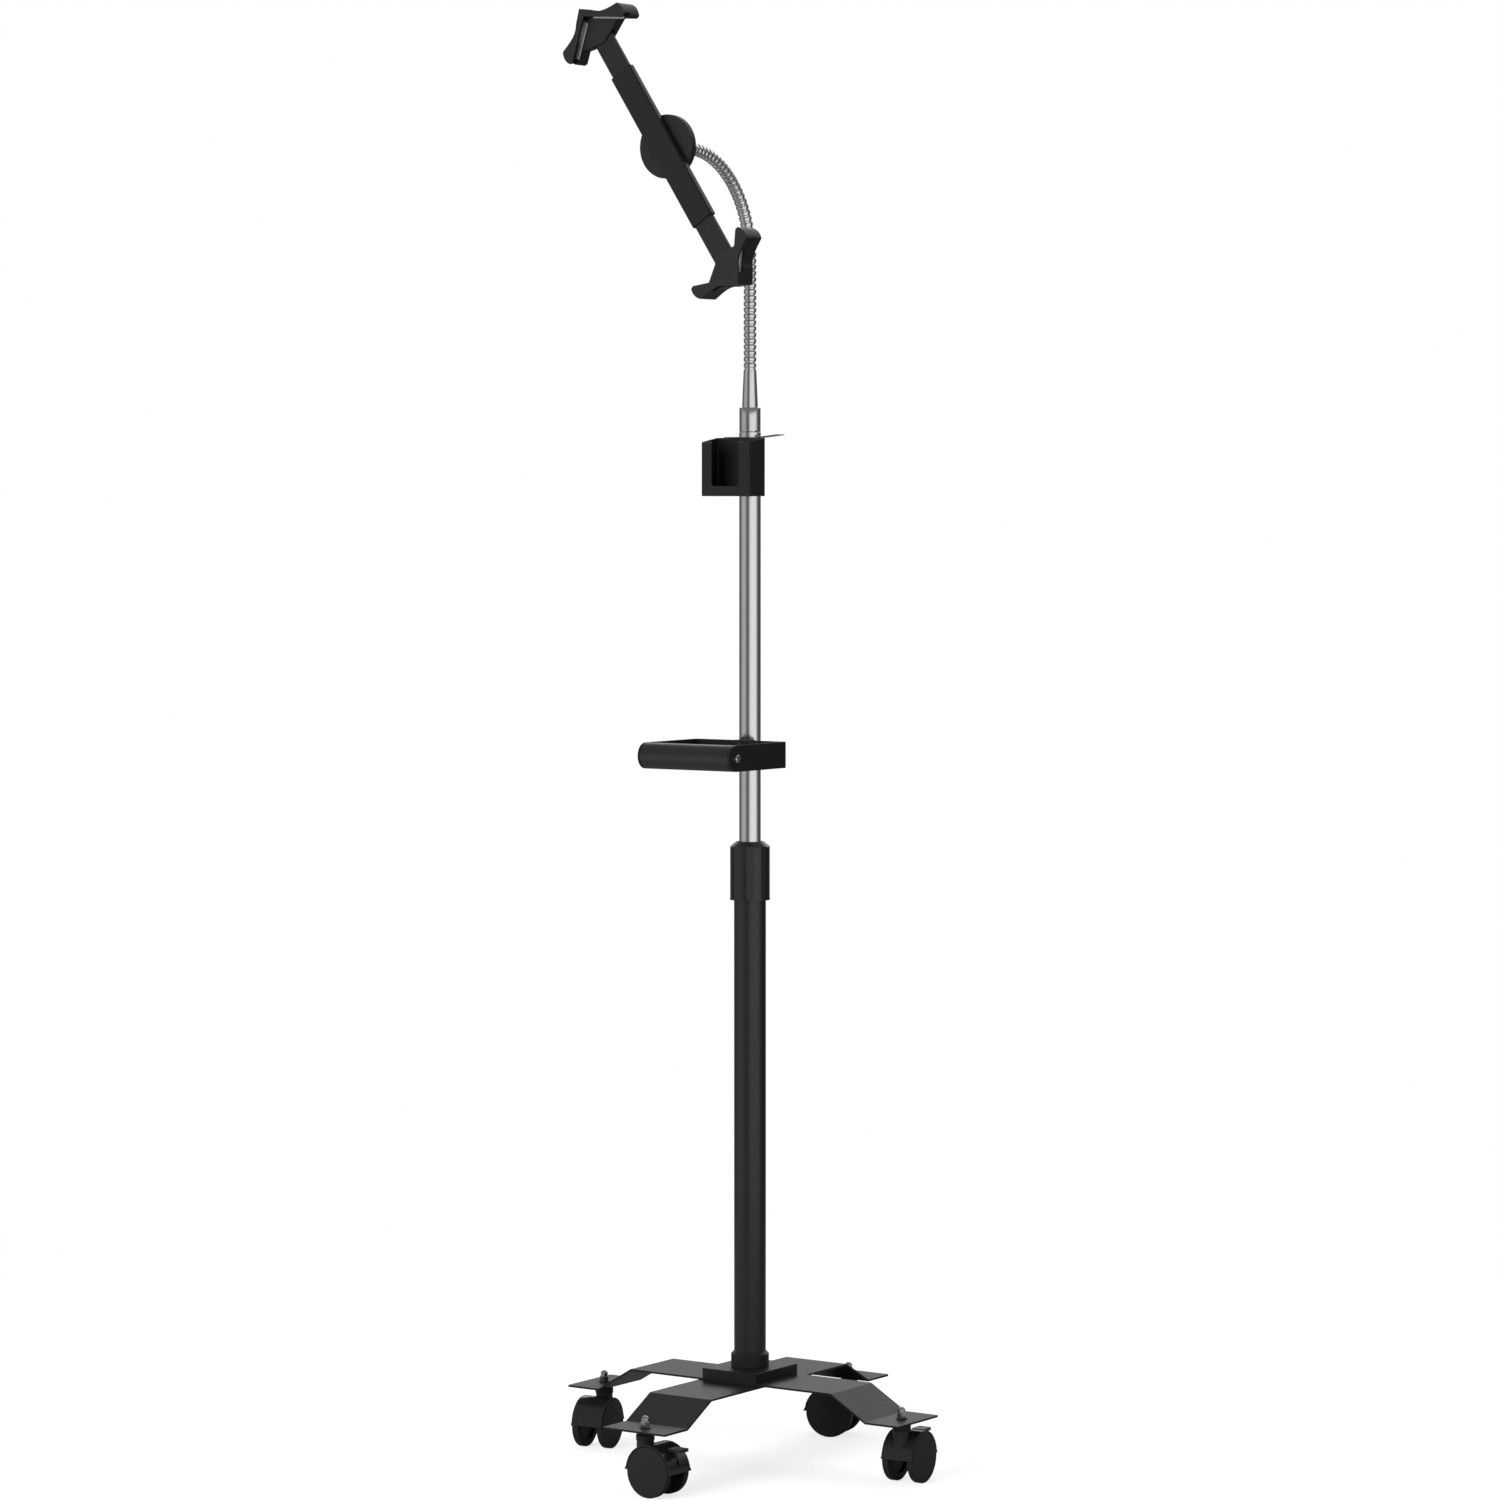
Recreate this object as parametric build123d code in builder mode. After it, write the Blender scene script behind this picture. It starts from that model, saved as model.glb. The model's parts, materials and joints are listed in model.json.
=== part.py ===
from build123d import *
from math import cos, pi, radians, sin, sqrt
import os

# Adjustable tablet floor stand: four castors, two crossed bent strips, a pole in two sections with a
# twist collar, a push handle, an open sheet-metal box, a gooseneck and a holder with two corner grips.
# Millimetres. The floor is Z = 0 under the pole's axis, +Z is up and the stand's front is -Y.
# The lengths called depth are measured forward from the pole's axis, along -Y.

os.makedirs("parts", exist_ok=True)

# Clearances, used wherever one piece fits another
run_fit = 0.05            # radial, a shaft that turns or slides in its hole
seat_fit = 0.02           # radial, a piece held fast in its hole
face_gap = 0.2            # between faces that pass each other
free_gap = 0.6            # round pieces that must not rub
cut_over = 1.0            # how far a cutting tool runs past a face

# Base strips
strip_width = 74.0
strip_thickness = 2.0
crown_half = 121.0        # from the centre to the first fold
fold_out = 162.0          # from the centre to the second fold
foot_end = 201.0
crown_rise = 22.5         # lower strip's crown above its feet
fold_radius = 3.0
strip_end_round = 1.5
stem_reach = (fold_out + foot_end) / 2

# Hub block, its bolt and its screws
block_x = 65.0
block_y = 75.0
block_height = 10.2
block_round = 0.8
bolt_radius = 4.0
bolt_head_width = 13.0
bolt_head_height = 5.3
bolt_flange_radius = 8.0
bolt_flange_height = 1.6
bolt_grip = 22.0          # how far the bolt reaches above the block
strip_screw_radius = 2.5
strip_screw_head = 4.5
strip_screw_head_height = 2.8
strip_screw_spacing = 48.0
strip_screw_grip = 8.0

# Castors
caster_height = 63.0      # floor to the underside of the foot
wheel_thickness = 7.5
wheel_gap = 21.0          # between the wheels' inner faces
wheel_round = 0.8
wheel_dome = 0.5
wheel_cap_radius = 5.0    # flat middle of the dome
wheel_rim = 6.5           # tread to the hollow of the inner face
wheel_recess_depth = 2.5
wheel_boss_radius = 6.0
trail = 15.7              # stem axis to axle
axle_radius = 3.0
axle_cap = 2.0            # wheel left outside the axle's end
hood_web = 8.0
hood_wall = 1.4
hood_side = 1.2           # wheel left bare outside the hood, each side
hood_start_deg = 1.5      # lower edge of the hood above the axle, both sides
hood_tip = 1.6
hood_gap = 1.6            # hood to the swivel race
neck_radius = 8.6
neck_drop = 16.0
stem_radius = 2.5
stem_depth = 21.5         # below the swivel race
race_radius = 9.2
race_height = 5.4
spacer_radius = 5.6
spacer_height = 4.0
lever_width = 14.0
lever_thickness = 3.0
lever_length = 16.0
lever_inside = 9.7        # lever's root inside the hood's rim
lever_gap = 0.77          # hood to the lever's underside
lever_tongue = 6.0
lever_tongue_width = 3.0
lever_pin_radius = 1.5
lever_pin_inside = 3.669  # lever's trunnions inside the hood's rim
# Each castor: name, direction of its leg, and how far it is parked past square to the leg
caster_parking = [("front", -90.0, -3.0), ("right", 0.0, 4.0), ("back", 90.0, 13.0), ("left", 180.0, 10.0)]
braked = ("front", "right")

# Cap nuts and washers on the feet
nut_width = 8.6
nut_hex_height = 5.0
nut_dome_radius = 3.7
nut_dome_round = 3.3
nut_height = 11.0
stem_washer_radius = 6.0
stem_washer_height = 1.0

# Pole
collar_radius = 19.1
collar_height = 15.6
collar_chamfer = 2.7
lower_radius = 16.0
lower_wall = 1.5
plug_height = 30.0
handle_above_twist = 147.7    # handle's middle above the twist collar's underside
twist_height = 58.5
twist_radius = 20.2
twist_top_radius = 13.7
twist_cone = 5.1
twist_lip = 1.5
twist_flats = 8
twist_flats_deg = 33.75
twist_flat_width = 7.7
twist_flat_depth = 1.0
tube_overlap = 24.0       # lower tube inside the twist collar
bush_depth = 22.0
bush_flange = 3.0
spigot_height = 12.0
spigot_radius = 15.0
collet_height = 12.0
collet_top_radius = 12.6
collet_slit = 1.6
upper_radius = 10.75
upper_wall = 1.3
upper_foot = 230.0        # foot of the upper tube
upper_top = 1038.7
slide_bush_height = 32.0
stop_height = 4.0
stop_radius = 13.0
snap_height = 2.0

# Handle
handle_height = 718.7
handle_half = 13.0        # half the bracket's height, and the grip bar's radius
handle_width = 110.0
bracket_thickness = 2.5
bracket_depth = 15.5      # back of the bracket in front of the pole's axis
bracket_bend = 3.0
grip_depth = 103.6
grip_screw_radius = 2.5
grip_screw_length = 14.0
grip_screw_head = 3.9
grip_screw_head_height = 2.3
grip_socket = 1.3
grip_socket_depth = 1.4
saddle_width = 20.0
panel_screw_radius = 2.0
panel_screw_head = 3.6
panel_screw_head_height = 2.0
handle_screw_spacing = 14.0

# Open box
box_width = 58.0
box_back = 15.0
box_depth = 29.0
box_bottom = 975.0
box_height = 58.0
box_front_drop = 4.5
box_wall = 1.5
box_corner = 2.0
window_width = 32.8
window_sill = 10.0
window_round = 3.5
box_saddle_height = 46.0
box_screw_spacing = 24.0
clip_left = 27.0
clip_right = 37.0
clip_width = 14.0
clip_thickness = 0.8
clip_ring_radius = 13.5   # round the pole; the clip's right end bends up from here
clip_tilt_deg = 6.0

# Neck ferrule and gooseneck
ferrule_radius = 10.55
ferrule_height = 24.5
shoulder_radius = 7.75
shoulder_height = 4.2
cone_height = 33.6
cone_top_radius = 6.3
ferrule_plug = 15.0
gooseneck_radius = 6.3
gooseneck_bore = 3.6
gooseneck_straight = 109.4
gooseneck_bend = 104.0
rib_pitch = 6.1
rib_depth = 0.9
rib_shares = (0.0, 0.22, 0.68, 0.9)
rib_root_shares = (1.0, 0.0, 0.0, 1.0)
neck_end = 2.0

# Ball joint behind the holder
stud_radius = 8.5
stud_wall = 2.4
stud_chamfer = 1.4
stud_neck_radius = 3.2
stud_reach = 14.5         # stud's face to the ball's centre
ball_radius = 8.0
seat_radius = 9.8
seat_half = 4.7
cup_radius = 15.0
cup_wall = 1.6
cup_rear = 6.5            # cup's mouth behind the ball's centre
cup_flange_radius = 19.0
cup_flange = 2.5
clamp_radius = 19.5
clamp_rear = 10.0         # nut's back face behind the ball's centre
clamp_mouth_radius = 9.0
clamp_grooves = 12
clamp_groove_radius = 1.6

# Holder
bar_angle_deg = 56.5      # bar's slope, down to the right as seen from the front
bar_width = 26.0
bar_thickness = 9.0
bar_wall = 1.7
bar_half = 88.0
bar_round = 2.0
hub_radius = 31.0
hub_thickness = 8.0
hub_round = 1.5
hub_screw_radius = 2.0
hub_screw_head = 3.6
hub_screw_head_height = 2.0
hub_screw_along = 44.0
hub_screw_across = 16.0
slider_length = 90.0      # inner end to the grip's pivot
slider_round = 0.8
pivot_reach = {"upper": 138.0, "lower": 142.0}    # hub's axis to each grip's pivot
grip_ends = {"upper": -1, "lower": 1}             # which way along the bar each grip lies
lock_at = 74.0
lock_knob_radius = 6.5
lock_knob_height = 8.0
lock_radius = 2.5
lock_grooves = 10
lock_groove_radius = 1.0

# Corner grips. A grip's own origin is the inner corner of its front lip.
grip_turn_deg = {"upper": 169.5, "lower": 1.9}    # each grip's own X from +X, as seen from the front
flare_deg = 6.85          # each arm opens by this much past square
lip_thickness = 2.4
slot_gap = 7.0
grip_total_depth = 26.0
waist = 5.5
corner_out = 7.2
lobe_out = 13.8
arm_length = 48.6
arm_start_share = 0.21
waist_at_share = 0.37
rise_at_share = 0.52
lobe_at_share = 0.81
tip_at_share = 0.955
rise_out_share = 0.52
tip_out_share = 0.62
corner_round = 2.4
slot_wall = 4.4           # lip's inner edge to the posts
post_window_share = (0.1, 0.56)
pivot_back = 16.5         # grip's corner to its pivot
pivot_radius = 2.5
pivot_boss = 14.0
pivot_head = 4.5
pivot_head_height = 2.0
web_back = 4.0            # web behind the bar's back face
web_arm_share = 0.68
web_end_radius = 3.0
swing_deg = 16.0          # each way from the bar's line
pad_thickness = 0.6
pad_width = 5.0
pad_start_share = 0.12
pad_end_share = 0.88

# A castor's wheel, hood and lever follow from its height
race_bottom = caster_height - spacer_height - race_height
wheel_radius = (race_bottom - hood_gap - hood_wall - free_gap) / 2
wheel_recess_radius = wheel_radius - wheel_rim
hood_outer = wheel_radius + free_gap + hood_wall
lever_back = trail + hood_outer - lever_inside
lever_pin_at = lever_back + lever_tongue / 2
lever_pin_rise = sqrt((hood_outer - lever_pin_inside) ** 2 - (lever_pin_at - trail) ** 2)
lever_rise = sqrt(hood_outer**2 - (lever_back - trail) ** 2) + lever_gap

# Heights up the stand
foot_top = caster_height + strip_thickness
lower_crown = caster_height + crown_rise
upper_crown = lower_crown + strip_thickness
block_bottom = upper_crown + strip_thickness
block_top = block_bottom + block_height
twist_start = handle_height - handle_above_twist
lower_top = twist_start + tube_overlap
lower_bore = lower_radius - lower_wall
ferrule_top = upper_top + ferrule_height
cone_top = ferrule_top + shoulder_height + cone_height
bend_start = cone_top + gooseneck_straight
hub_height = bend_start + gooseneck_bend

# Depths through the holder
neck_face = gooseneck_bend + 2 * gooseneck_radius
stud_face = neck_face + stud_wall
ball_depth = stud_face + stud_reach
bar_back = ball_depth + seat_radius + run_fit + cup_wall
bar_front = bar_back + bar_thickness
lip_back = bar_front + slot_gap
lip_front = lip_back + lip_thickness
grip_back = lip_front - grip_total_depth
hub_back = bar_back - hub_thickness


def save(piece, name):
    """Label a finished piece and write it under its node's name."""
    piece.label = name
    export_step(piece, f"parts/{name}.step")


def sleeve(plane, outer, inner, height):
    """A plain ring or disc that stands on a plane."""
    with BuildPart() as ring:
        with BuildSketch(plane):
            Circle(outer)
            if inner > 0:
                Circle(inner, mode=Mode.SUBTRACT)
        extrude(amount=height)
    return ring.part


def level(height):
    """A level plane at a height above the floor."""
    return Plane.XY.offset(height)


def facing(depth, x=0.0, z=0.0, turn_deg=0.0):
    """A plane that looks forward, seen from the front with X to the right, and turned in its plane."""
    across = (cos(radians(turn_deg)), 0, sin(radians(turn_deg)))
    return Plane(origin=(x, -depth, z), x_dir=across, z_dir=(0, -1, 0))


# Base strips: the lower one runs along Y, the upper one along X and rests on its crown
def bent_strip(plane, crown, stems):
    with BuildPart() as strip:
        with BuildSketch(plane):
            with BuildLine():
                under = FilletPolyline(
                    (-foot_end, caster_height),
                    (-fold_out, caster_height),
                    (-crown_half, crown),
                    (crown_half, crown),
                    (fold_out, caster_height),
                    (foot_end, caster_height),
                    radius=fold_radius,
                )
                offset(under, amount=strip_thickness, side=Side.LEFT)
            make_face()
        extrude(amount=strip_width / 2, both=True)
        fillet(strip.edges().filter_by(Axis.Z).group_by(SortBy.DISTANCE)[-1], strip_end_round)
        with BuildSketch(level(caster_height - cut_over)):
            with Locations(*stems):
                Circle(stem_radius + run_fit)
        extrude(amount=strip_thickness + 2 * cut_over, mode=Mode.SUBTRACT)
        with BuildSketch(level(crown - cut_over)):
            Circle(bolt_radius + run_fit)
            with GridLocations(strip_screw_spacing, strip_screw_spacing, 2, 2):
                Circle(strip_screw_radius + run_fit)
        extrude(amount=strip_thickness + 2 * cut_over, mode=Mode.SUBTRACT)
    return strip.part


save(bent_strip(Plane.XZ, upper_crown, [(-stem_reach, 0), (stem_reach, 0)]), "base_strip_upper")
save(bent_strip(Plane.YZ, lower_crown, [(0, -stem_reach), (0, stem_reach)]), "base_strip_lower")

with BuildPart() as hub_block:
    with BuildSketch(level(block_bottom)):
        Rectangle(block_x, block_y)
    extrude(amount=block_height)
    fillet(hub_block.edges().filter_by(Axis.Z), block_round)
    fillet(hub_block.faces().sort_by(Axis.Z)[-1].edges(), block_round / 2)
    with BuildSketch(level(block_bottom)):
        Circle(bolt_radius + run_fit)
    extrude(amount=block_height, mode=Mode.SUBTRACT)
    with BuildSketch(level(block_bottom)):
        with GridLocations(strip_screw_spacing, strip_screw_spacing, 2, 2):
            Circle(strip_screw_radius + seat_fit)
    extrude(amount=strip_screw_grip + run_fit, mode=Mode.SUBTRACT)
save(hub_block.part, "hub_block")

with BuildPart() as centre_bolt:
    with BuildSketch(level(lower_crown - bolt_flange_height - bolt_head_height)):
        RegularPolygon(bolt_head_width / 2, 6, major_radius=False)
    extrude(amount=bolt_head_height)
    with BuildSketch(level(lower_crown - bolt_flange_height)):
        Circle(bolt_flange_radius)
    extrude(amount=bolt_flange_height)
    with BuildSketch(level(lower_crown)):
        Circle(bolt_radius)
    extrude(amount=block_top - lower_crown + bolt_grip)
save(centre_bolt.part, "centre_bolt")

with BuildPart() as strip_screws:
    with BuildSketch(level(lower_crown - strip_screw_head_height)):
        with GridLocations(strip_screw_spacing, strip_screw_spacing, 2, 2):
            Circle(strip_screw_head)
    extrude(amount=strip_screw_head_height)
    fillet(strip_screws.edges().group_by(Axis.Z)[0], strip_screw_head_height / 2)
    with BuildSketch(level(lower_crown)):
        with GridLocations(strip_screw_spacing, strip_screw_spacing, 2, 2):
            Circle(strip_screw_radius)
    extrude(amount=block_bottom - lower_crown + strip_screw_grip)
save(strip_screws.part, "strip_screws")

# Foot of the pole
with BuildPart() as base_collar:
    with BuildSketch(level(block_top)):
        Circle(collar_radius)
        Circle(lower_radius + seat_fit, mode=Mode.SUBTRACT)
    extrude(amount=collar_height)
    chamfer(base_collar.edges().group_by(Axis.Z)[-1].sort_by(SortBy.RADIUS)[-1], collar_chamfer)
save(base_collar.part, "base_collar")

save(sleeve(level(block_top), lower_radius, lower_bore, lower_top - block_top), "lower_tube")
save(sleeve(level(block_top), lower_bore - seat_fit, bolt_radius + seat_fit, plug_height), "tube_plug")

# Twist lock: a bush in the lower tube, a slit collet on it, and the ribbed collar over both
with BuildPart() as guide_bush:
    with BuildSketch(level(lower_top - bush_depth)):
        Circle(lower_bore - seat_fit)
    extrude(amount=bush_depth)
    with BuildSketch(level(lower_top)):
        Circle(lower_radius)
    extrude(amount=bush_flange)
    with BuildSketch(level(lower_top + bush_flange)):
        Circle(spigot_radius)
    extrude(amount=spigot_height)
    with BuildSketch(level(lower_top - bush_depth)):
        Circle(upper_radius + run_fit)
    extrude(amount=bush_depth + bush_flange + spigot_height, mode=Mode.SUBTRACT)
save(guide_bush.part, "guide_bush")

spigot_top = lower_top + bush_flange + spigot_height
with BuildPart() as collet:
    with BuildSketch(level(spigot_top)):
        Circle(spigot_radius)
    with BuildSketch(level(spigot_top + collet_height)):
        Circle(collet_top_radius)
    loft()
    with BuildSketch(level(spigot_top)):
        Circle(upper_radius + run_fit)
    extrude(amount=collet_height, mode=Mode.SUBTRACT)
    with BuildSketch(level(spigot_top + collet_height / 4)):
        Rectangle(collet_slit, 2 * spigot_radius)
        Rectangle(2 * spigot_radius, collet_slit)
    extrude(amount=collet_height, mode=Mode.SUBTRACT)
save(collet.part, "collet")

twist_top = twist_start + twist_height
with BuildPart() as twist_collar:
    with BuildSketch(Plane.XZ):
        with BuildLine():
            Polyline(
                (lower_radius + run_fit, twist_start),
                (twist_radius, twist_start),
                (twist_radius, twist_top - twist_cone),
                (twist_top_radius, twist_top),
                (upper_radius + free_gap, twist_top),
                (upper_radius + free_gap, spigot_top + collet_height + face_gap),
                (collet_top_radius + free_gap, spigot_top + collet_height + face_gap),
                (lower_radius + run_fit, spigot_top),
                close=True,
            )
        make_face()
    revolve(axis=Axis.Z)
    with BuildSketch(level(twist_start + twist_lip)):
        with PolarLocations(twist_radius, twist_flats, start_angle=twist_flats_deg):
            Rectangle(2 * twist_flat_depth, twist_flat_width)
    extrude(amount=twist_height, mode=Mode.SUBTRACT)
save(twist_collar.part, "twist_collar")

# What hangs on the pole's front: its middle's height, its saddle's height and depth, what its
# screws pass through, and their spacing
box_middle = box_bottom + box_height / 2
saddle_mounts = {
    "handle_saddle": (handle_height, 2 * handle_half, bracket_depth, bracket_thickness, handle_screw_spacing),
    "box_saddle": (box_middle, box_saddle_height, box_back, box_wall, box_screw_spacing),
}


def screw_pair(middle, spacing):
    return Locations((0, middle - spacing / 2), (0, middle + spacing / 2))


# Upper tube, its slide bush and the stops that hold the bush
with BuildPart() as upper_tube:
    with BuildSketch(level(upper_foot)):
        Circle(upper_radius)
        Circle(upper_radius - upper_wall, mode=Mode.SUBTRACT)
    extrude(amount=upper_top - upper_foot)
    with BuildSketch(facing(0)):
        for middle, _, _, _, spacing in saddle_mounts.values():
            with screw_pair(middle, spacing):
                Circle(panel_screw_radius + seat_fit)
    extrude(amount=2 * upper_radius, mode=Mode.SUBTRACT)
save(upper_tube.part, "upper_tube")

save(
    sleeve(level(upper_foot + run_fit), lower_bore - run_fit, upper_radius + run_fit, slide_bush_height),
    "slide_bush",
)
with BuildPart() as tube_stops:
    with BuildSketch(level(upper_foot - stop_height)):
        Circle(stop_radius)
    extrude(amount=stop_height)
    with BuildSketch(level(upper_foot)):
        Circle(upper_radius - upper_wall - seat_fit)
    extrude(amount=stop_height)
    with BuildSketch(level(upper_foot + slide_bush_height + 2 * run_fit)):
        Circle(stop_radius)
        Circle(upper_radius + seat_fit, mode=Mode.SUBTRACT)
    extrude(amount=snap_height)
save(tube_stops.part, "tube_stops")

# Handle: a bent flat bracket with rounded arm ends, and a round grip bar between the arms
arm_outside = handle_width / 2
with BuildPart() as handle_bracket:
    with BuildSketch(level(handle_height - handle_half)):
        with BuildLine():
            outline = FilletPolyline(
                (-arm_outside, -grip_depth - handle_half),
                (-arm_outside, -bracket_depth),
                (arm_outside, -bracket_depth),
                (arm_outside, -grip_depth - handle_half),
                radius=bracket_bend,
            )
            offset(outline, amount=bracket_thickness, side=Side.RIGHT)
        make_face()
    extrude(amount=2 * handle_half)
    with BuildSketch(Plane.YZ):
        with BuildLine():
            Polyline(
                (-grip_depth, handle_height + handle_half),
                (-grip_depth - handle_half - cut_over, handle_height + handle_half),
                (-grip_depth - handle_half - cut_over, handle_height - handle_half),
                (-grip_depth, handle_height - handle_half),
            )
            ThreePointArc(
                (-grip_depth, handle_height - handle_half),
                (-grip_depth - handle_half, handle_height),
                (-grip_depth, handle_height + handle_half),
            )
        make_face()
    extrude(amount=handle_width, both=True, mode=Mode.SUBTRACT)
    with BuildSketch(Plane.YZ):
        with Locations((-grip_depth, handle_height)):
            Circle(grip_screw_radius + seat_fit)
    extrude(amount=handle_width, both=True, mode=Mode.SUBTRACT)
    with BuildSketch(facing(0)):
        with screw_pair(handle_height, handle_screw_spacing):
            Circle(panel_screw_radius + seat_fit)
    extrude(amount=2 * bracket_depth, mode=Mode.SUBTRACT)
save(handle_bracket.part, "handle_bracket")

bar_end = arm_outside - bracket_thickness
with BuildPart() as grip_bar:
    with BuildSketch(Plane.YZ):
        with Locations((-grip_depth, handle_height)):
            Circle(handle_half)
    extrude(amount=bar_end, both=True)
    fillet(grip_bar.edges(), block_round)
    for side in (-1, 1):
        with BuildSketch(Plane.YZ.offset(side * bar_end)):
            with Locations((-grip_depth, handle_height)):
                Circle(grip_screw_radius + seat_fit)
        extrude(amount=-side * (grip_screw_length + run_fit), mode=Mode.SUBTRACT)
save(grip_bar.part, "grip_bar")

with BuildPart() as grip_screws:
    for side in (-1, 1):
        with BuildSketch(Plane.YZ.offset(side * arm_outside)):
            with Locations((-grip_depth, handle_height)):
                Circle(grip_screw_radius)
        extrude(amount=-side * (bracket_thickness + grip_screw_length))
        with BuildSketch(Plane.YZ.offset(side * arm_outside)):
            with Locations((-grip_depth, handle_height)):
                Circle(grip_screw_head)
        extrude(amount=side * grip_screw_head_height)
    rims = grip_screws.edges().filter_by(GeomType.CIRCLE).group_by(Axis.X)
    crowns = [rims[end].sort_by(SortBy.RADIUS)[-1] for end in (0, -1)]
    fillet(crowns, grip_screw_head_height / 2)
    for side in (-1, 1):
        with BuildSketch(Plane.YZ.offset(side * (arm_outside + grip_screw_head_height))):
            with Locations((-grip_depth, handle_height)):
                RegularPolygon(grip_socket, 6, major_radius=False)
        extrude(amount=-side * grip_socket_depth, mode=Mode.SUBTRACT)
save(grip_screws.part, "grip_screws")


# Saddles between the pole and what hangs on its front, and the screws through them into the pole
screw_tip = upper_radius - upper_wall - run_fit
for name, (middle, height, face, _, spacing) in saddle_mounts.items():
    with BuildPart() as saddle:
        with BuildSketch(level(middle - height / 2)):
            with Locations((0, -(face + upper_radius / 2) / 2)):
                Rectangle(saddle_width, face - upper_radius / 2)
            Circle(upper_radius + seat_fit, mode=Mode.SUBTRACT)
        extrude(amount=height)
        with BuildSketch(facing(0)):
            with screw_pair(middle, spacing):
                Circle(panel_screw_radius + seat_fit)
        extrude(amount=2 * face, mode=Mode.SUBTRACT)
    save(saddle.part, name)

with BuildPart() as panel_screws:
    for middle, _, face, wall, spacing in saddle_mounts.values():
        with BuildSketch(facing(face + wall)):
            with screw_pair(middle, spacing):
                Circle(panel_screw_head)
        extrude(amount=panel_screw_head_height)
        fillet(panel_screws.edges(Select.LAST).group_by(Axis.Y)[0], panel_screw_head_height / 2)
        with BuildSketch(facing(screw_tip)):
            with screw_pair(middle, spacing):
                Circle(panel_screw_radius)
        extrude(amount=face + wall - screw_tip)
save(panel_screws.part, "panel_screws")

# Open sheet-metal box: sides fall towards the front, and the front has a window open at its top
box_front = box_back + box_depth
box_top = box_bottom + box_height
with BuildPart() as open_box:
    with BuildSketch(level(box_bottom)):
        with Locations((0, -(box_back + box_front) / 2)):
            Rectangle(box_width, box_depth)
    extrude(amount=box_height)
    fillet(open_box.edges().filter_by(Axis.Z), box_corner)
    fillet(open_box.faces().sort_by(Axis.Z)[0].edges(), box_wall / 2)
    with BuildSketch(level(box_bottom + box_wall)):
        with Locations((0, -(box_back + box_front) / 2)):
            RectangleRounded(box_width - 2 * box_wall, box_depth - 2 * box_wall, box_corner - box_wall / 2)
    extrude(amount=box_height, mode=Mode.SUBTRACT)
    with BuildSketch(Plane.YZ):
        with BuildLine():
            Polyline(
                (-box_back - box_wall, box_top),
                (-box_front, box_top - box_front_drop),
                (-box_front - cut_over, box_top - box_front_drop),
                (-box_front - cut_over, box_top + cut_over),
                (-box_back - box_wall, box_top + cut_over),
                close=True,
            )
        make_face()
    extrude(amount=box_width, both=True, mode=Mode.SUBTRACT)
    with BuildSketch(facing(box_front - 2 * box_wall)):
        with Locations((0, box_bottom + window_sill + box_height / 2)):
            RectangleRounded(window_width, box_height, window_round)
    extrude(amount=2 * box_wall + cut_over, mode=Mode.SUBTRACT)
    with BuildSketch(facing(0)):
        with screw_pair(box_middle, box_screw_spacing):
            Circle(panel_screw_radius + seat_fit)
    extrude(amount=box_back + 2 * box_wall, mode=Mode.SUBTRACT)
save(open_box.part, "open_box")

# Thin spring clip round the pole, over the box's saddle, its right end bent up
clip_height = box_top + face_gap
clip_lift = (clip_right - clip_ring_radius) * sin(radians(clip_tilt_deg))
with BuildPart() as spring_clip:
    with BuildSketch(Plane.XZ):
        with BuildLine():
            run = Polyline(
                (-clip_left, clip_height),
                (clip_ring_radius, clip_height),
                (clip_right, clip_height + clip_lift),
            )
            offset(run, amount=clip_thickness, side=Side.LEFT)
        make_face()
    extrude(amount=clip_width / 2, both=True)
    with BuildSketch(level(clip_height)):
        Circle(clip_ring_radius)
    extrude(amount=clip_thickness)
    with BuildSketch(level(clip_height - cut_over)):
        Circle(upper_radius + seat_fit)
    extrude(amount=2 * cut_over + clip_lift, mode=Mode.SUBTRACT)
save(spring_clip.part, "spring_clip")

# Neck ferrule: a plug in the tube, a plain band, a shoulder and a long cone, bored for the gooseneck
with BuildPart() as neck_ferrule:
    with BuildSketch(Plane.XZ):
        with BuildLine():
            Polyline(
                (gooseneck_bore, upper_top - ferrule_plug),
                (upper_radius - upper_wall - seat_fit, upper_top - ferrule_plug),
                (upper_radius - upper_wall - seat_fit, upper_top),
                (ferrule_radius, upper_top),
                (ferrule_radius, ferrule_top),
                (shoulder_radius, ferrule_top),
                (shoulder_radius, ferrule_top + shoulder_height),
                (cone_top_radius, cone_top),
                (gooseneck_bore, cone_top),
                close=True,
            )
        make_face()
    revolve(axis=Axis.Z)
    rims = neck_ferrule.edges().filter_by(GeomType.CIRCLE)
    fillet([rim for rim in rims if rim.radius == ferrule_radius], shoulder_height / 6)
save(neck_ferrule.part, "neck_ferrule")


# Gooseneck: straight up from the cone, a quarter turn forward, then straight into the stud
def neck_plane(run):
    """The plane square to the gooseneck's middle line, at a run along it from the cone."""
    turn = min(max((run - gooseneck_straight) / gooseneck_bend, 0), pi / 2)
    past = max(run - gooseneck_straight - gooseneck_bend * pi / 2, 0)
    depth = gooseneck_bend * (1 - cos(turn)) + past
    height = cone_top + min(run, gooseneck_straight) + gooseneck_bend * sin(turn)
    return Plane(origin=(0, -depth, height), x_dir=(1, 0, 0), z_dir=(0, -sin(turn), cos(turn)))


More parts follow.
